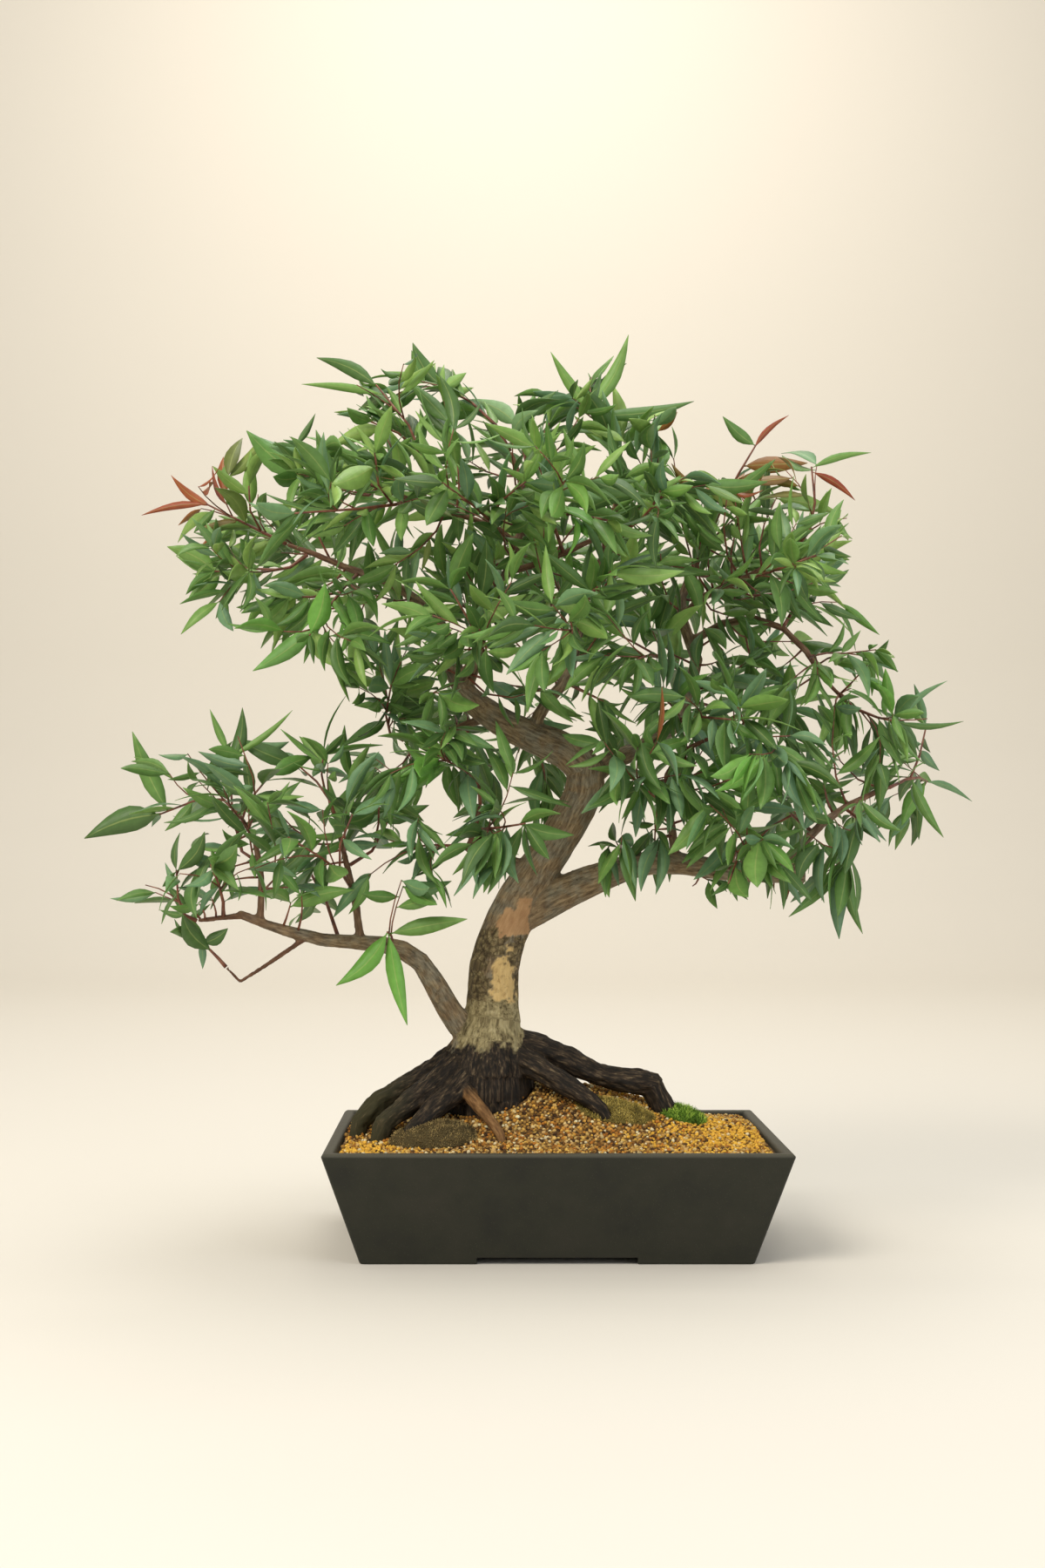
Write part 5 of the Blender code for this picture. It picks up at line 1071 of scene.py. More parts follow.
class Room:
    """Keeps the shapes that stand in the crown, and says whether another is clear of them."""

    def __init__(self, wood):
        self.wood = wood
        self.taken = []

    def tree_and_box(self, shape):
        """A shape's faces to test against others, and its lowest and highest corner."""
        corners, faces = shape
        low = Vector([min(corner[axis] for corner in corners) for axis in range(3)])
        high = Vector([max(corner[axis] for corner in corners) for axis in range(3)])
        return BVHTree.FromPolygons(corners, faces), low, high

    def is_clear(self, spray, twig, whole, outer, seated=False):
        """The whole shape against other sprays and the wood, and its outer part against its own spray.

        A twig that is seated on the wood is tried against it with its outer part alone.
        """
        whole_tree, low, high = self.tree_and_box(whole)
        outer_tree = self.tree_and_box(outer)[0]
        if (outer_tree if seated else whole_tree).overlap(self.wood):
            return False
        for other_spray, other_twig, other_whole, other_outer, other_low, other_high in self.taken:
            if any(low[a] > other_high[a] or high[a] < other_low[a] for a in range(3)):
                continue
            if other_spray != spray:
                if whole_tree.overlap(other_whole):
                    return False
            elif other_twig != twig and outer_tree.overlap(other_outer):
                return False
        return True

    def take(self, spray, twig, whole, outer):
        """Keeps a shape that now stands in the crown."""
        whole_tree, low, high = self.tree_and_box(whole)
        outer_tree = self.tree_and_box(outer)[0]
        self.taken.append((spray, twig, whole_tree, outer_tree, low, high))


def seat(room, limb, share, tip):
    """Where a spray's main twig starts: off the end of its limb, or square off the bark towards its tip."""
    place, direction, _ = point_along(limb, share)
    if share >= 1.0:
        return place + direction * GAP, direction
    towards = tip - place
    towards -= direction * towards.dot(direction)
    surface, normal, _, _ = room.wood.ray_cast(place, towards.normalized())
    return surface + normal * GAP, normal


def seen_at(point):
    """Where a point is seen from the front: its (x, z) laid into the crown's middle depth."""
    spread = 1 + CROWN_SPREAD * point.y
    x = CROWN_CENTRE[0] + (point.x - CROWN_CENTRE[0]) / spread
    return x, CROWN_CENTRE[1] + (point.z - CROWN_CENTRE[1]) / spread


def in_crown(point):
    """Whether a point lies within the crown's depth and outline."""
    if abs(point.y) > CROWN_DEPTH / 2:
        return False
    x, z = seen_at(point)
    inside = False
    for (x1, z1), (x2, z2) in zip(CROWN_OUTLINE, CROWN_OUTLINE[1:] + CROWN_OUTLINE[:1]):
        if (z1 > z) != (z2 > z) and x < x1 + (z - z1) / (z2 - z1) * (x2 - x1):
            inside = not inside
    return inside


def grow_twigs(room):
    """The main twig and side twigs of every spray, each clear of the wood and of the others."""
    routes = {"trunk": TRUNK, **LIMBS}
    sprays = {}
    for name, limb, share, tip, side_twigs, droop in SPRAYS:
        main = None
        for attempt in range(TRIES):
            draw = random.Random(f"{name} main {attempt}")
            wander = TIP_WANDER * attempt
            along = share if share == 1.0 else share + SEAT_STEP * attempt * (-1) ** attempt
            base, normal = seat(room, routes[limb], along, Vector(tip))
            end = Vector(tip) + Vector([draw.uniform(-wander, wander) for _ in range(3)])
            reach = (end - base).length
            control = base + normal * reach * SQUARE_SHARE + Vector((0, 0, TWIG_LIFT * reach))
            lean = normal.angle(quadratic(base, control, end, 1 / TWIG_SPANS) - base)
            base += normal * SPRAY_TWIG_RADIUS * math.sin(lean)
            radii = (SPRAY_TWIG_RADIUS, TWIG_END_RADIUS)
            main = twig_route(base, control, end, radii, TWIG_SPANS)
            whole = rod(main, TWIG_ROOTED, CLEARANCE)
            outer = rod(main, TWIG_ROOTED)
            if room.is_clear(name, 0, whole, outer, seated=True):
                break
        room.take(name, 0, rod(main), rod(main))
        twigs = [main]
        for number in range(1, side_twigs + 1):
            for attempt in range(TRIES):
                draw = random.Random(f"{name} side {number} {attempt}")
                root, direction, _ = point_along(main, draw.uniform(*SIDE_TWIG_STARTS))
                turn = Matrix.Rotation(draw.uniform(0, 2 * math.pi), 3, direction)
                lean = turn @ across(direction)
                aim = (direction * SIDE_TWIG_FORWARD + lean + Vector((0, 0, SIDE_TWIG_LIFT))).normalized()
                reach = (Vector(tip) - base).length * SIDE_TWIG_SHARE * draw.uniform(*SIDE_TWIG_RANGE)
                reach = min(max(reach, SIDE_TWIG_LENGTHS[0]), SIDE_TWIG_LENGTHS[1])
                end = root + aim * reach + Vector((0, 0, -SIDE_TWIG_SAG * droop * reach))
                control = root + (direction + aim).normalized() * reach * 0.5
                radii = (SIDE_TWIG_RADIUS, TWIG_END_RADIUS)
                side = twig_route(root, control, end, radii, SIDE_TWIG_SPANS)
                whole = rod(side, 0.0, CLEARANCE)
                outer = rod(side, SIDE_TWIG_ROOTED, CLEARANCE)
                if in_crown(end) and room.is_clear(name, number, whole, outer):
                    room.take(name, number, rod(side), rod(side, SIDE_TWIG_ROOTED))
                    twigs.append(side)
                    break
        sprays[name] = (twigs, droop)
    return sprays


def twig_route(start, control, end, radii, spans):
    """A twig's middle line and radii, in even spans."""
    points = []
    for i in range(spans + 1):
        share = i / spans
        radius = radii[0] + (radii[1] - radii[0]) * share
        points.append((*quadratic(start, control, end, share), radius))
    return points


def leaf_places(twig_number, length):
    """Shares of a twig's length where leaves sit: two near the end, and one to each side further back."""
    if twig_number > 0:
        return [0.98, 0.80, 0.55]
    return [0.985, 0.93, 0.72, 0.50] if length > 0.06 else [0.98, 0.86, 0.6]


def grow_leaves(room, sprays):
    """Leaves as (root, tip, roll, width) for each spray: first those of the outline, then pairs by rule."""
    leaves = {name: [] for name in sprays}
    for number, (name, share, tip, width) in enumerate(STANDOUT_LEAVES):
        root = point_along(sprays[name][0][0], share)[0]
        for attempt in range(TRIES):
            draw = random.Random(f"{name} standout {number} {attempt}")
            facing = roll_to_front((Vector(tip) - root).normalized())
            stray = draw.gauss(0.0, STANDOUT_STRAY + STANDOUT_TURN * attempt)
            leaf = (root, Vector(tip), facing + stray, width)
            if place_leaf(room, name, 0, leaf):
                leaves[name].append(leaf)
                break
    for name, (twigs, droop) in sprays.items():
        for twig_number, twig in enumerate(twigs):
            length = (Vector(twig[-1][:3]) - Vector(twig[0][:3])).length
            places = leaf_places(twig_number, length)
            if twig_number == 0:
                places = places[len(leaves[name]) :]
            for place_number, share in enumerate(places):
                for attempt in range(TRIES):
                    draw = random.Random(f"{name} leaf {twig_number} {place_number} {attempt}")
                    leaf = leaf_by_rule(draw, twig, share, place_number, droop)
                    if in_crown(leaf[1]) and place_leaf(room, name, twig_number, leaf):
                        leaves[name].append(leaf)
                        break
    return leaves


def roll_to_front(along):
    """The roll that turns the flat of a leaf with this direction to the front, its edge up."""
    level = across(along)
    upright = along.cross(Vector((0, 1, 0))).normalized()
    return math.atan2(level.cross(upright).dot(along), level.dot(upright))


def leaf_by_rule(draw, twig, share, place_number, droop):
    """A leaf to one side of its twig, which leans along the twig and droops."""
    root, direction, _ = point_along(twig, share)
    opposite = 1 if place_number % 2 else -1
    turn = Matrix.Rotation(draw.uniform(-LEAF_TURN, LEAF_TURN) + place_number * NEXT_TURN, 3, direction)
    sideways = turn @ across(direction) * opposite
    forward = draw.uniform(*(TIP_FORWARD if share > 0.9 else LEAF_FORWARD))
    aim = direction * forward + sideways * draw.uniform(*LEAF_SIDEWAYS)
    aim += Vector((0, 0, -LEAF_DROOP * droop * draw.uniform(*DROOP_RANGE)))
    length = draw.uniform(*LEAF_LENGTHS)
    width = length * draw.uniform(*LEAF_WIDTH_SHARES)
    hangs = draw.random() < EDGE_UP_SHARE
    roll = draw.gauss(roll_to_front(aim.normalized()) if hangs else 0.0, LEAF_ROLL)
    return root, root + aim.normalized() * length, roll, width


def place_leaf(room, spray, twig_number, leaf):
    """Takes the leaf's place in the crown if nothing but its own twig is in its way."""
    root, tip, roll, width = leaf
    whole = blade(root, tip, roll, width, 0.0, CLEARANCE)
    outer = blade(root, tip, roll, width, LEAF_ROOTED, CLEARANCE)
    if not room.is_clear(spray, twig_number, whole, outer):
        return False
    room.take(spray, None, blade(root, tip, roll, width), blade(root, tip, roll, width, LEAF_ROOTED))
    return True


# Finer twigs of each spray, drawn after the leaves above: how many, where they start on the main twig, how
# long and how thick they are, and how they lean. The lowest sprays have few. Less room is kept round them.
FINE_TWIGS, FEW_FINE_TWIGS = 4, 2
FINE_TWIG_NUMBER = 20
FINE_TWIG_STARTS = (0.20, 0.96)
FINE_TWIG_LENGTHS = (0.028, 0.062)
FINE_TWIG_RADII = (0.0008, 0.00045)
FINE_TWIG_FORWARD = (0.5, 1.1)
FINE_TWIG_LIFT = 0.25
FINE_CLEARANCE = 0.0001
FINE_TRIES = 7
# More leaves on every twig: their sizes, where they sit, how they lie, and how their roll strays. The lowest
# sprays have fewer. A leaf keeps clear of the openings at these shares of its length.
MORE_LENGTHS = (0.030, 0.060)
MORE_WIDTHS = (0.17, 0.28)
MORE_SHARES = [0.99, 0.985, 0.9, 0.8, 0.7, 0.6, 0.5, 0.4, 0.3]
FEWER_SHARES = [0.99, 0.985, 0.8, 0.6]
MORE_FORWARD = (0.5, 1.6)
MORE_SIDEWAYS = (0.5, 1.0)
MORE_DROOP = (0.2, 1.3)
MORE_ROLL = 0.8
OPEN_SHARES = (0.4, 0.8)
# Short leafy shoots off the limbs, which fill the inner crown: their number, sizes and seats. Those with a
# number below zero hang round the low limbs, some for each full place, and stray about it.
LIMB_SHOOTS = 100
FILL_SHOOTS = 3
LIMB_SHOOT_LENGTHS = (0.045, 0.105)
LIMB_SHOOT_RADII = (0.0012, 0.0005)
LIMB_SHOOT_STARTS = (0.2, 0.97)
LIMB_SHOOT_FORWARD = (0.0, 0.8)
LIMB_SHOOT_LIFT = 0.3
LEAST_SHOOT = 0.012
SHOOT_ROOTED = 0.0006
FULL_STRAY = 0.010
FULL_DEPTH = (-0.04, 0.02)
STATIONS = 20
HIGH_TRUNK = 12
SHOOT_DROOPS = {"hanging": 1.0, "shoots": 0.4}
# The lowest tip of a shoot in the crown, and of a leaf on a shoot that hangs.
LOWEST_SHOOT_TIP = 0.400
LOWEST_LEAF = 0.308
TWIG_SIDES = 6
# A leaf's outline from its stalk to its tip: share of the length, and of the width.
LEAF_OUTLINE = [
    (0.0, 0.085), (0.055, 0.085), (0.13, 0.42), (0.24, 0.80), (0.37, 1.0), (0.52, 0.95), (0.68, 0.72),
    (0.84, 0.40), (1.0, 0.03),
]
LEAF_THICKNESS = 0.00042
FOLD = 0.16
SICKLE = (0.01, 0.09)
# Where the young leaves are red, and where leaves are bright yellow-green, seen from the front: x, z, spread.
YOUNG_TUFTS = [
    (-0.322, 0.686, 0.024), (0.192, 0.745, 0.034), (0.155, 0.692, 0.016), (0.240, 0.715, 0.024),
    (0.345, 0.540, 0.018), (-0.180, 0.770, 0.012), (-0.110, 0.660, 0.010), (0.035, 0.745, 0.010),
]
BRIGHT_TUFTS = [
    (-0.207, 0.580, 0.024), (-0.262, 0.543, 0.022), (-0.168, 0.235, 0.060), (-0.100, 0.295, 0.030),
    (0.155, 0.424, 0.016), (-0.238, 0.480, 0.014), (0.010, 0.640, 0.018), (-0.290, 0.720, 0.014),
    (-0.119, 0.434, 0.016), (0.290, 0.500, 0.018),
]
# Which share of the leaves takes the colour of a tuft, in it and elsewhere, and how strongly.
YOUNG_SHARE, YOUNG_STRENGTH = 0.6, 1.5
RARE_YOUNG, RARE_YOUNG_STRENGTH = 0.008, 0.85
BRIGHT_SHARE, BRIGHT_STRENGTH = 0.8, 1.3
RARE_BRIGHT, RARE_BRIGHT_STRENGTH = 0.06, 0.35
# The lower crown lies in the shade and fades into the upper crown between two heights. Its leaves are darker,
# more of them are blue with wax, and they hang further down.
LOW_CROWN = (0.40, 0.62)
LOW_SHADE = 0.35
LOW_DROOP = 1.3
WAXY_SHARE, LOW_WAXY = 0.12, 0.5
# Openings in the crown, seen from the front, where only the main twigs lie, and full places that shoots grow
# towards: x, z and, for an opening, how wide it is.
OPENINGS = [
    (-0.272, 0.436, 0.024), (-0.156, 0.346, 0.020), (-0.284, 0.704, 0.020), (-0.037, 0.421, 0.019),
    (-0.109, 0.406, 0.018), (0.069, 0.778, 0.016), (-0.322, 0.682, 0.016), (0.324, 0.411, 0.018),
    (0.073, 0.551, 0.016), (-0.037, 0.385, 0.018), (-0.042, 0.768, 0.014), (0.239, 0.708, 0.014),
    (-0.253, 0.700, 0.014), (-0.283, 0.468, 0.014), (-0.364, 0.416, 0.014), (-0.152, 0.440, 0.014),
    (0.248, 0.366, 0.013), (-0.192, 0.786, 0.012), (0.285, 0.358, 0.012), (-0.341, 0.344, 0.014),
    (0.033, 0.718, 0.012), (-0.204, 0.752, 0.012), (0.345, 0.476, 0.013), (0.073, 0.724, 0.012),
    (-0.168, 0.750, 0.012), (0.304, 0.480, 0.012), (0.000, 0.600, 0.010), (-0.200, 0.560, 0.010),
]
FULL_PLACES = [
    (0.092, 0.375), (0.059, 0.504), (-0.308, 0.315), (-0.155, 0.645), (-0.227, 0.325), (0.222, 0.517),
    (-0.328, 0.579), (0.277, 0.494), (-0.372, 0.325), (-0.214, 0.361), (0.053, 0.370), (0.201, 0.328),
    (-0.288, 0.340), (0.138, 0.330), (0.150, 0.550), (0.284, 0.512), (-0.190, 0.700),
]


def in_opening(point):
    """Whether a point stands in front of or behind an opening of the crown."""
    x, z = seen_at(point)
    return any((x - a) ** 2 + (z - b) ** 2 < wide**2 for a, b, wide in OPENINGS)


def leaning(draw, direction):
    """A vector square to a direction, turned about it at random."""
    return Matrix.Rotation(draw.uniform(0, 2 * math.pi), 3, direction) @ across(direction)


def shoot_aim(draw, number):
    """Where a shoot leaves the middle line of its limb, the limb's direction there, and the shoot's tip."""
    routes = {"trunk": TRUNK[HIGH_TRUNK:], **LIMBS}
    if number < 0:
        x, z = FULL_PLACES[-number % len(FULL_PLACES)]
        x, z = draw.gauss(x, FULL_STRAY), draw.gauss(z, FULL_STRAY)
        shares = [share / STATIONS for share in range(1, STATIONS)]
        stations = [point_along(route, share) for route in routes.values() for share in shares]
        place, direction, _ = min(stations, key=lambda at: math.hypot(at[0].x - x, at[0].z - z))
        return place, direction, Vector((x, place.y + draw.uniform(*FULL_DEPTH), z))
    route = routes[draw.choice(sorted(routes))]
    place, direction, _ = point_along(route, draw.uniform(*LIMB_SHOOT_STARTS))
    lean = leaning(draw, direction)
    forward = direction * draw.uniform(*LIMB_SHOOT_FORWARD)
    aim = (lean + forward + Vector((0, 0, LIMB_SHOOT_LIFT))).normalized()
    return place, direction, place + aim * draw.uniform(*LIMB_SHOOT_LENGTHS)


def take_twig(room, name, number, twig, seated=False):
    """Takes a thin twig's place in the crown if it is clear of everything."""
    shapes = rod(twig, 0.0, FINE_CLEARANCE), rod(twig, SIDE_TWIG_ROOTED, FINE_CLEARANCE)
    if not room.is_clear(name, number, *shapes, seated=seated):
        return False
    room.take(name, number, rod(twig), rod(twig, SIDE_TWIG_ROOTED))
    return True


def fine_twig(room, name, number, main):
    """A thin shoot off the main twig, where it is clear of everything."""
    for attempt in range(FINE_TRIES):
        draw = random.Random(f"{name} fine {number} {attempt}")
        root, direction, _ = point_along(main, draw.uniform(*FINE_TWIG_STARTS))
        lean = leaning(draw, direction)
        forward = direction * draw.uniform(*FINE_TWIG_FORWARD)
        aim = (forward + lean + Vector((0, 0, FINE_TWIG_LIFT))).normalized()
        reach = draw.uniform(*FINE_TWIG_LENGTHS)
        control = root + (direction + aim).normalized() * reach * 0.5
        end = root + aim * reach
        if in_crown(end):
            twig = twig_route(root, control, end, FINE_TWIG_RADII, TWIG_SPANS)
            if take_twig(room, name, number, twig):
                return twig
    return None


def limb_shoot(room, number):
    """A leafy shoot straight off a limb, where it is clear of everything."""
    for attempt in range(TRIES):
        draw = random.Random(f"limb shoot {number} {attempt}")
        place, direction, tip = shoot_aim(draw, number)
        towards = tip - place
        reach = towards.length
        towards -= direction * towards.dot(direction)
        surface, normal = room.wood.ray_cast(place, towards.normalized())[:2]
        if surface is None or not in_crown(tip) or not in_crown(surface):
            continue
        if (tip - surface).length < LEAST_SHOOT or (number >= 0 and tip.z < LOWEST_SHOOT_TIP):
            continue
        base = surface - normal * SHOOT_ROOTED
        control = base + normal * reach * SQUARE_SHARE
        twig = twig_route(base, control, tip, LIMB_SHOOT_RADII, TWIG_SPANS)
        if take_twig(room, "hanging" if number < 0 else "shoots", number, twig, seated=True):
            return twig
    return None


def high_share(z):
    """How far a point stands from the shaded lower crown towards the bright upper crown."""
    return min(max((z - LOW_CROWN[0]) / (LOW_CROWN[1] - LOW_CROWN[0]), 0.0), 1.0)


def more_leaves(room, name, twigs, droop):
    """Further leaves on every twig, given by its number: a pair at each tip, and others back along it."""
    found = []
    shares = FEWER_SHARES if name.startswith(("low", "hanging")) else MORE_SHARES
    for number, twig in twigs:
        for place_number, share in enumerate(shares):
            for attempt in range(FINE_TRIES):
                draw = random.Random(f"{name} more {number} {place_number} {attempt}")
                root, direction, _ = point_along(twig, share)
                turn = Matrix.Rotation(draw.uniform(0, math.pi), 3, direction)
                sideways = turn @ across(direction) * (1 if place_number % 2 else -1)
                aim = direction * draw.uniform(*MORE_FORWARD) + sideways * draw.uniform(*MORE_SIDEWAYS)
                hang = droop * (1 + LOW_DROOP * (1 - high_share(root.z)))
                aim += Vector((0, 0, -hang * draw.uniform(*MORE_DROOP)))
                length = draw.uniform(*MORE_LENGTHS)
                width = length * draw.uniform(*MORE_WIDTHS)
                tip = root + aim.normalized() * length
                if tip.z < LOWEST_LEAF if name == "hanging" else not in_crown(tip):
                    continue
                if any(in_opening(root.lerp(tip, part)) for part in OPEN_SHARES):
                    continue
                hangs = draw.random() < EDGE_UP_SHARE
                roll = draw.gauss(roll_to_front(aim.normalized()) if hangs else 0.0, MORE_ROLL)
                whole = blade(root, tip, roll, width, 0.0, FINE_CLEARANCE)
                outer = blade(root, tip, roll, width, LEAF_ROOTED, FINE_CLEARANCE)
                if room.is_clear(name, number, whole, outer):
                    room.take(name, None, whole, outer)
                    found.append((root, tip, roll, width))
                    break
    return found


def leaf_points(leaf, draw):
    """The template's points laid along one leaf: narrow stalk, folded midrib, an arch and a sickle bow."""
    root, tip, roll, width = leaf
    along = (tip - root).normalized()
    length = (tip - root).length
    sideways = Matrix.Rotation(roll, 3, along) @ across(along)
    upward = sideways.cross(along)
    shares, widths = np.array(LEAF_OUTLINE).T
    x, row, z = flat_leaf.T
    share = np.interp(row, np.arange(len(shares)), shares)
    half_width = np.interp(row, np.arange(len(shares)), widths) * width / 2
    lift = length * LEAF_ARCH * np.sin(math.pi * share) + FOLD * np.abs(x) * half_width
    lift += (z - 0.5) * LEAF_THICKNESS
    bow = length * draw.uniform(*SICKLE) * draw.choice((-1, 1)) * np.sin(math.pi * share)
    laid = np.array(root) + np.outer(share * length, along)
    return laid + np.outer(x * half_width + bow, sideways) + np.outer(lift, upward)


def leaf_tone(leaf, draw):
    """Shade of green, how young and red, how bright, and how blue one leaf is."""
    root, tip = leaf[:2]
    middle = root.lerp(tip, 0.5)
    young = min(1.0, YOUNG_STRENGTH * nearness(root.x, root.z, YOUNG_TUFTS))
    if draw.random() >= YOUNG_SHARE:
        young = RARE_YOUNG_STRENGTH * (draw.random() < RARE_YOUNG)
    bright = min(1.0, BRIGHT_STRENGTH * nearness(middle.x, middle.z, BRIGHT_TUFTS))
    if draw.random() >= BRIGHT_SHARE:
        bright = 0.0
    low = LOW_SHADE * (1 - high_share(root.z))
    bright = max(bright, RARE_BRIGHT_STRENGTH * (draw.random() < RARE_BRIGHT))
    green = draw.random() * (1 - low)
    return green, young, bright, 1.0 if draw.random() < WAXY_SHARE + LOW_WAXY * low else 0.0


def twig_tube(bm, route, sides):
    """A round twig drawn out ring by ring and closed at both ends."""
    points = [Vector(point[:3]) for point in route]
    direction = (points[1] - points[0]).normalized()
    turn = direction.to_track_quat("Z", "Y").to_matrix().to_4x4()
    placed = Matrix.Translation(points[0]) @ turn
    ring = bmesh.ops.create_circle(bm, segments=sides, radius=route[0][3], matrix=placed)["verts"]
    edges = list(dict.fromkeys(edge for vertex in ring for edge in vertex.link_edges))
    first = edges
    for i, point in enumerate(points[1:], 1):
        beyond = points[min(i + 1, len(points) - 1)] - points[i - 1]
        bend = direction.rotation_difference(beyond.normalized()).to_matrix()
        grown = bmesh.ops.extrude_edge_only(bm, edges=edges)["geom"]
        verts = [item for item in grown if isinstance(item, bmesh.types.BMVert)]
        edges = [item for item in grown if isinstance(item, bmesh.types.BMEdge)]
        swell = route[i][3] / route[i - 1][3]
        for vertex in verts:
            vertex.co = point + bend @ (vertex.co - points[i - 1]) * swell
        direction = beyond.normalized()
    bmesh.ops.holes_fill(bm, edges=[*first, *edges], sides=0)


def build_flat_leaf(bm):
    """A strip two columns wide and one unit thick: x from -1 to 1, and y counts the rows of the outline."""
    bmesh.ops.create_grid(bm, x_segments=2, y_segments=len(LEAF_OUTLINE) - 1, size=1.0)
    for vertex in bm.verts:
        vertex.co.y = (vertex.co.y + 1) / 2 * (len(LEAF_OUTLINE) - 1)
    bmesh.ops.solidify(bm, geom=bm.faces, thickness=-1.0)


room = Room(wood_faces)
sprays = grow_twigs(room)
leaves = grow_leaves(room, sprays)
for name, (twigs, _) in sprays.items():
    for number in range(FEW_FINE_TWIGS if name.startswith("low") else FINE_TWIGS):
        fine = fine_twig(room, name, FINE_TWIG_NUMBER + number, twigs[0])
        if fine:
            twigs.append(fine)
for name, (twigs, droop) in sprays.items():
    leaves[name] += more_leaves(room, name, list(enumerate(twigs)), droop)
inner = {number: limb_shoot(room, number) for number in range(-FILL_SHOOTS * len(FULL_PLACES), LIMB_SHOOTS)}
for name, droop in SHOOT_DROOPS.items():
    found = [(number, twig) for number, twig in inner.items() if twig and (number < 0) == (name == "hanging")]
    sprays[name] = ([twig for _, twig in found], droop)
    leaves[name] = more_leaves(room, name, found, droop)
leaf_template = template_mesh("eucalyptus_leaf", build_flat_leaf)
flat_leaf = read(leaf_template.vertices)
flat_leaf[:, 2] -= flat_leaf[:, 2].min()

# Eucalyptus leaf: leathery and slightly waxy, mid to dark green with a paler midrib. Blue-green where the wax
# is thick, yellow-green where the leaf is new, and bronze red at the youngest tips.
leathery, tree, shader, place = material("leathery_eucalyptus_leaf")
tone = add(tree, "ShaderNodeAttribute", attribute_name="tone")
green, young, bright = add(tree, "ShaderNodeSeparateColor", {"Color": tone}).outputs
spot = add(tree, "ShaderNodeAttribute", attribute_name="on_leaf").outputs["Vector"]
on_leaf = add(tree, "ShaderNodeSeparateXYZ", {"Vector": spot}).outputs
from_midrib = add(tree, "ShaderNodeMath", {0: on_leaf["X"]}, operation="ABSOLUTE")
mottle = add(tree, "ShaderNodeTexNoise", {"Vector": place, "Scale": 160.0, "Detail": 3.0})
wax = add(tree, "ShaderNodeMath", {0: tone.outputs["Alpha"], 1: 0.65}, operation="MULTIPLY")
GREENS = [(0.0, "#4a6a35"), (0.28, "#597f3e"), (0.52, "#6a9447"), (0.75, "#7ca551"), (0.95, "#94b75d")]
YOUNG_REDS = [(0.0, "#8a3c26"), (0.5, "#a3552c"), (1.0, "#8c6a34")]
greens = add(tree, "ShaderNodeValToRGB", {"Fac": green}, GREENS)
young_red = add(tree, "ShaderNodeValToRGB", {"Fac": green}, YOUNG_REDS)
rib = add(tree, "ShaderNodeValToRGB", {"Fac": from_midrib}, [(0.0, 0.55), (0.10, 0.0)])
shadow = add(tree, "ShaderNodeValToRGB", {"Fac": mottle}, [(0.3, 0.35), (0.7, 1.0)])
# Each layer lies over those before it by a share: wax, new green, young red, the midrib, and mottled shadow.
LEAF_LAYERS = [
    (wax, colour("#739a78"), "MIX"),
    (bright, colour("#6ea845"), "MIX"),
    (young, young_red, "MIX"),
    (rib, colour("#a7b56a"), "MIX"),
    (0.28, shadow, "MULTIPLY"),
]
surface = greens
for share, above, blend in LEAF_LAYERS:
    layers = {"Fac": share, "Color1": surface, "Color2": above}
    surface = add(tree, "ShaderNodeMixRGB", layers, blend_type=blend)
veined = {"Vector": add(tree, "ShaderNodeCombineXYZ", {"X": from_midrib, "Y": on_leaf["Y"]})}
veined |= {"Scale": 2.6, "Distortion": 1.5, "Detail": 2.0}
veins = add(tree, "ShaderNodeTexWave", veined, bands_direction="DIAGONAL").outputs["Fac"]
vein_bump = add(tree, "ShaderNodeBump", {"Height": veins, "Strength": 0.12, "Distance": 0.0004})
ribs = {"Height": rib, "Normal": vein_bump, "Strength": 0.4, "Distance": 0.0004}
feed(tree, shader, {"Base Color": surface, "Normal": add(tree, "ShaderNodeBump", ribs)})
feed(tree, shader, {"Roughness": 0.46, "Specular IOR Level": 0.4, "Subsurface Weight": 0.0})

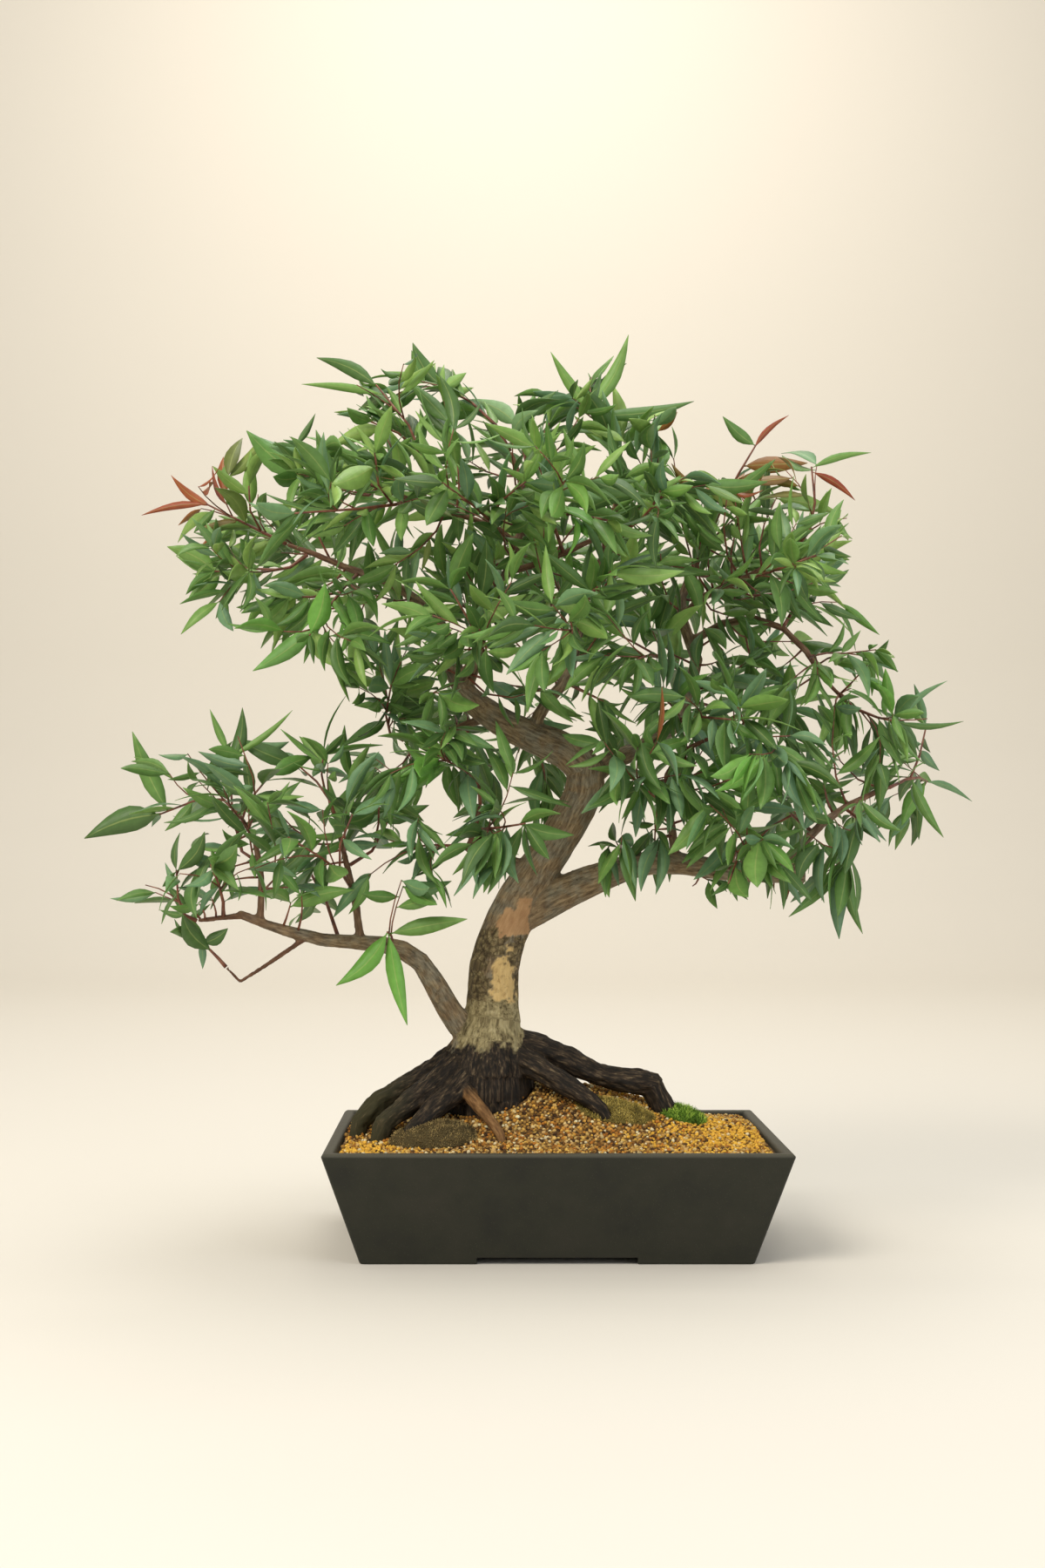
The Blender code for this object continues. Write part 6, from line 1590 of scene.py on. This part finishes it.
# Young shoot bark: reddish brown, smooth and a little glossy, greyer in patches.
shoot_bark, tree, shader, place = material("reddish_young_shoot_bark")
patches = add(tree, "ShaderNodeTexNoise", {"Vector": place, "Scale": 130.0, "Detail": 3.0})
REDDISH = [(0.30, "#4c2b20"), (0.50, "#74402d"), (0.72, "#8f6148")]
reddish = add(tree, "ShaderNodeValToRGB", {"Fac": patches}, REDDISH)
feed(tree, shader, {"Base Color": reddish, "Roughness": 0.5})
for name, (twigs, _) in sprays.items():
    bm = bmesh.new()
    for twig in twigs:
        twig_tube(bm, twig, TWIG_SIDES)
    bmesh.ops.recalc_face_normals(bm, faces=bm.faces)
    twig_vertices, twig_faces = len(bm.verts), len(bm.faces)
    for _ in leaves[name]:
        bm.from_mesh(leaf_template)
    mesh = bpy.data.meshes.new("eucalyptus_spray_" + name)
    bm.to_mesh(mesh)
    bm.free()
    spots = read(mesh.vertices)
    marks = np.zeros((len(spots), 4))
    places = np.zeros((len(spots), 3))
    for number, leaf in enumerate(leaves[name]):
        draw = random.Random(f"{name} look {number}")
        begin = twig_vertices + number * len(flat_leaf)
        span = slice(begin, begin + len(flat_leaf))
        spots[span] = leaf_points(leaf, draw)
        marks[span] = leaf_tone(leaf, draw)
        places[span] = flat_leaf * (1.0, 1 / (len(LEAF_OUTLINE) - 1), 0.0)
    mesh.vertices.foreach_set("co", spots.ravel())
    paint(mesh, "tone", marks)
    lay_out(mesh, "on_leaf", places)
    spray = shown("eucalyptus_spray_" + name, mesh)
    set_down(spray, leathery, "leaf", *([] if name in SHOOT_DROOPS else ["spray_" + name]))
    mesh.materials.append(shoot_bark)
    kinds = np.zeros(len(mesh.polygons), int)
    kinds[:twig_faces] = 1
    mesh.polygons.foreach_set("material_index", kinds)
    mesh.update()


# The stage: a pale sweep of paper under and far behind the tree, soft light from the upper left, a weak fill,
# a lamp overhead and one on the paper behind, and a camera at the height and distance of the photograph.
FLOOR_REACH = 3.0
FLOOR_BELOW = 0.0002
SWEEP_START = 3.4
SWEEP_ROUND = 0.9
SWEEP_TOP = 3.0
SWEEP_BOW = math.pi / 2 * SWEEP_ROUND

bm = bmesh.new()
bmesh.ops.create_grid(bm, x_segments=1, y_segments=40, size=1.0)
for vertex in bm.verts:
    vertex.co.x *= FLOOR_REACH
    travel = (vertex.co.y + 1) / 2 * (FLOOR_REACH + SWEEP_START + SWEEP_BOW + SWEEP_TOP)
    bend = min(max(travel - FLOOR_REACH - SWEEP_START, 0.0), SWEEP_BOW) / SWEEP_ROUND
    rise = max(travel - FLOOR_REACH - SWEEP_START - SWEEP_BOW, 0.0)
    vertex.co.y = min(travel - FLOOR_REACH, SWEEP_START) + SWEEP_ROUND * math.sin(bend)
    vertex.co.z = SWEEP_ROUND * (1 - math.cos(bend)) + rise - FLOOR_BELOW
mesh = bpy.data.meshes.new("paper_sweep")
bm.to_mesh(mesh)
bm.free()
mesh.shade_smooth()
floor = shown("paper_sweep", mesh)
# Matt paper, uncoated and slightly warm.
paper, tree, shader, place = material("matt_pale_paper")
feed(tree, shader, {"Base Color": colour("#e2ded4"), "Roughness": 0.9})
mesh.materials.append(paper)

# Each lamp is its name, place, what it points at, width, power and tint.
CROWN_MIDDLE = (0.0, 0.0, 0.38)
PAPER_BEHIND = (0.0, 4.3, 0.9)
LAMPS = [
    ("key", (-1.5, -1.9, 2.3), CROWN_MIDDLE, 1.6, 62.0, "#fff6ea"),
    ("fill", (1.9, -1.6, 1.1), CROWN_MIDDLE, 2.0, 18.0, "#eef3ff"),
    ("top", (0.2, 0.3, 2.6), CROWN_MIDDLE, 1.8, 26.0, "#ffffff"),
    ("wall", (0.0, 2.3, 3.4), PAPER_BEHIND, 1.8, 52.0, "#fff6ea"),
]
for name, place, aim, size, power, tint in LAMPS:
    light = bpy.data.lights.new(name, "AREA")
    light.shape = "DISK"
    light.size = size
    light.energy = power
    light.color = colour(tint)[:3]
    turned = (Vector(aim) - Vector(place)).to_track_quat("-Z", "Y").to_matrix().to_4x4()
    lamp = shown(name, light)
    lamp.matrix_world = Matrix.Translation(place) @ turned

sky = bpy.data.worlds.new("pale_room")
sky.use_nodes = True
background = sky.node_tree.nodes["Background"]
feed(sky.node_tree, background, {"Color": colour("#f4efe6"), "Strength": 0.55})
bpy.context.scene.world = sky
bpy.context.scene.view_settings.view_transform = "Standard"

CAMERA_PLACE = (-0.061, -1.869, 0.371)
FOCAL_LENGTH = 46.04
SENSOR = 36.0
CENTRE_SHIFT = (0.0222, 0.0361)

lens = bpy.data.cameras.new("front_camera")
lens.sensor_fit = "AUTO"
lens.sensor_width = SENSOR
lens.lens = FOCAL_LENGTH
lens.shift_x, lens.shift_y = CENTRE_SHIFT
camera = shown("front_camera", lens)
camera.matrix_world = Matrix.Translation(CAMERA_PLACE) @ Matrix.Rotation(math.pi / 2, 4, "X")
bpy.context.scene.camera = camera
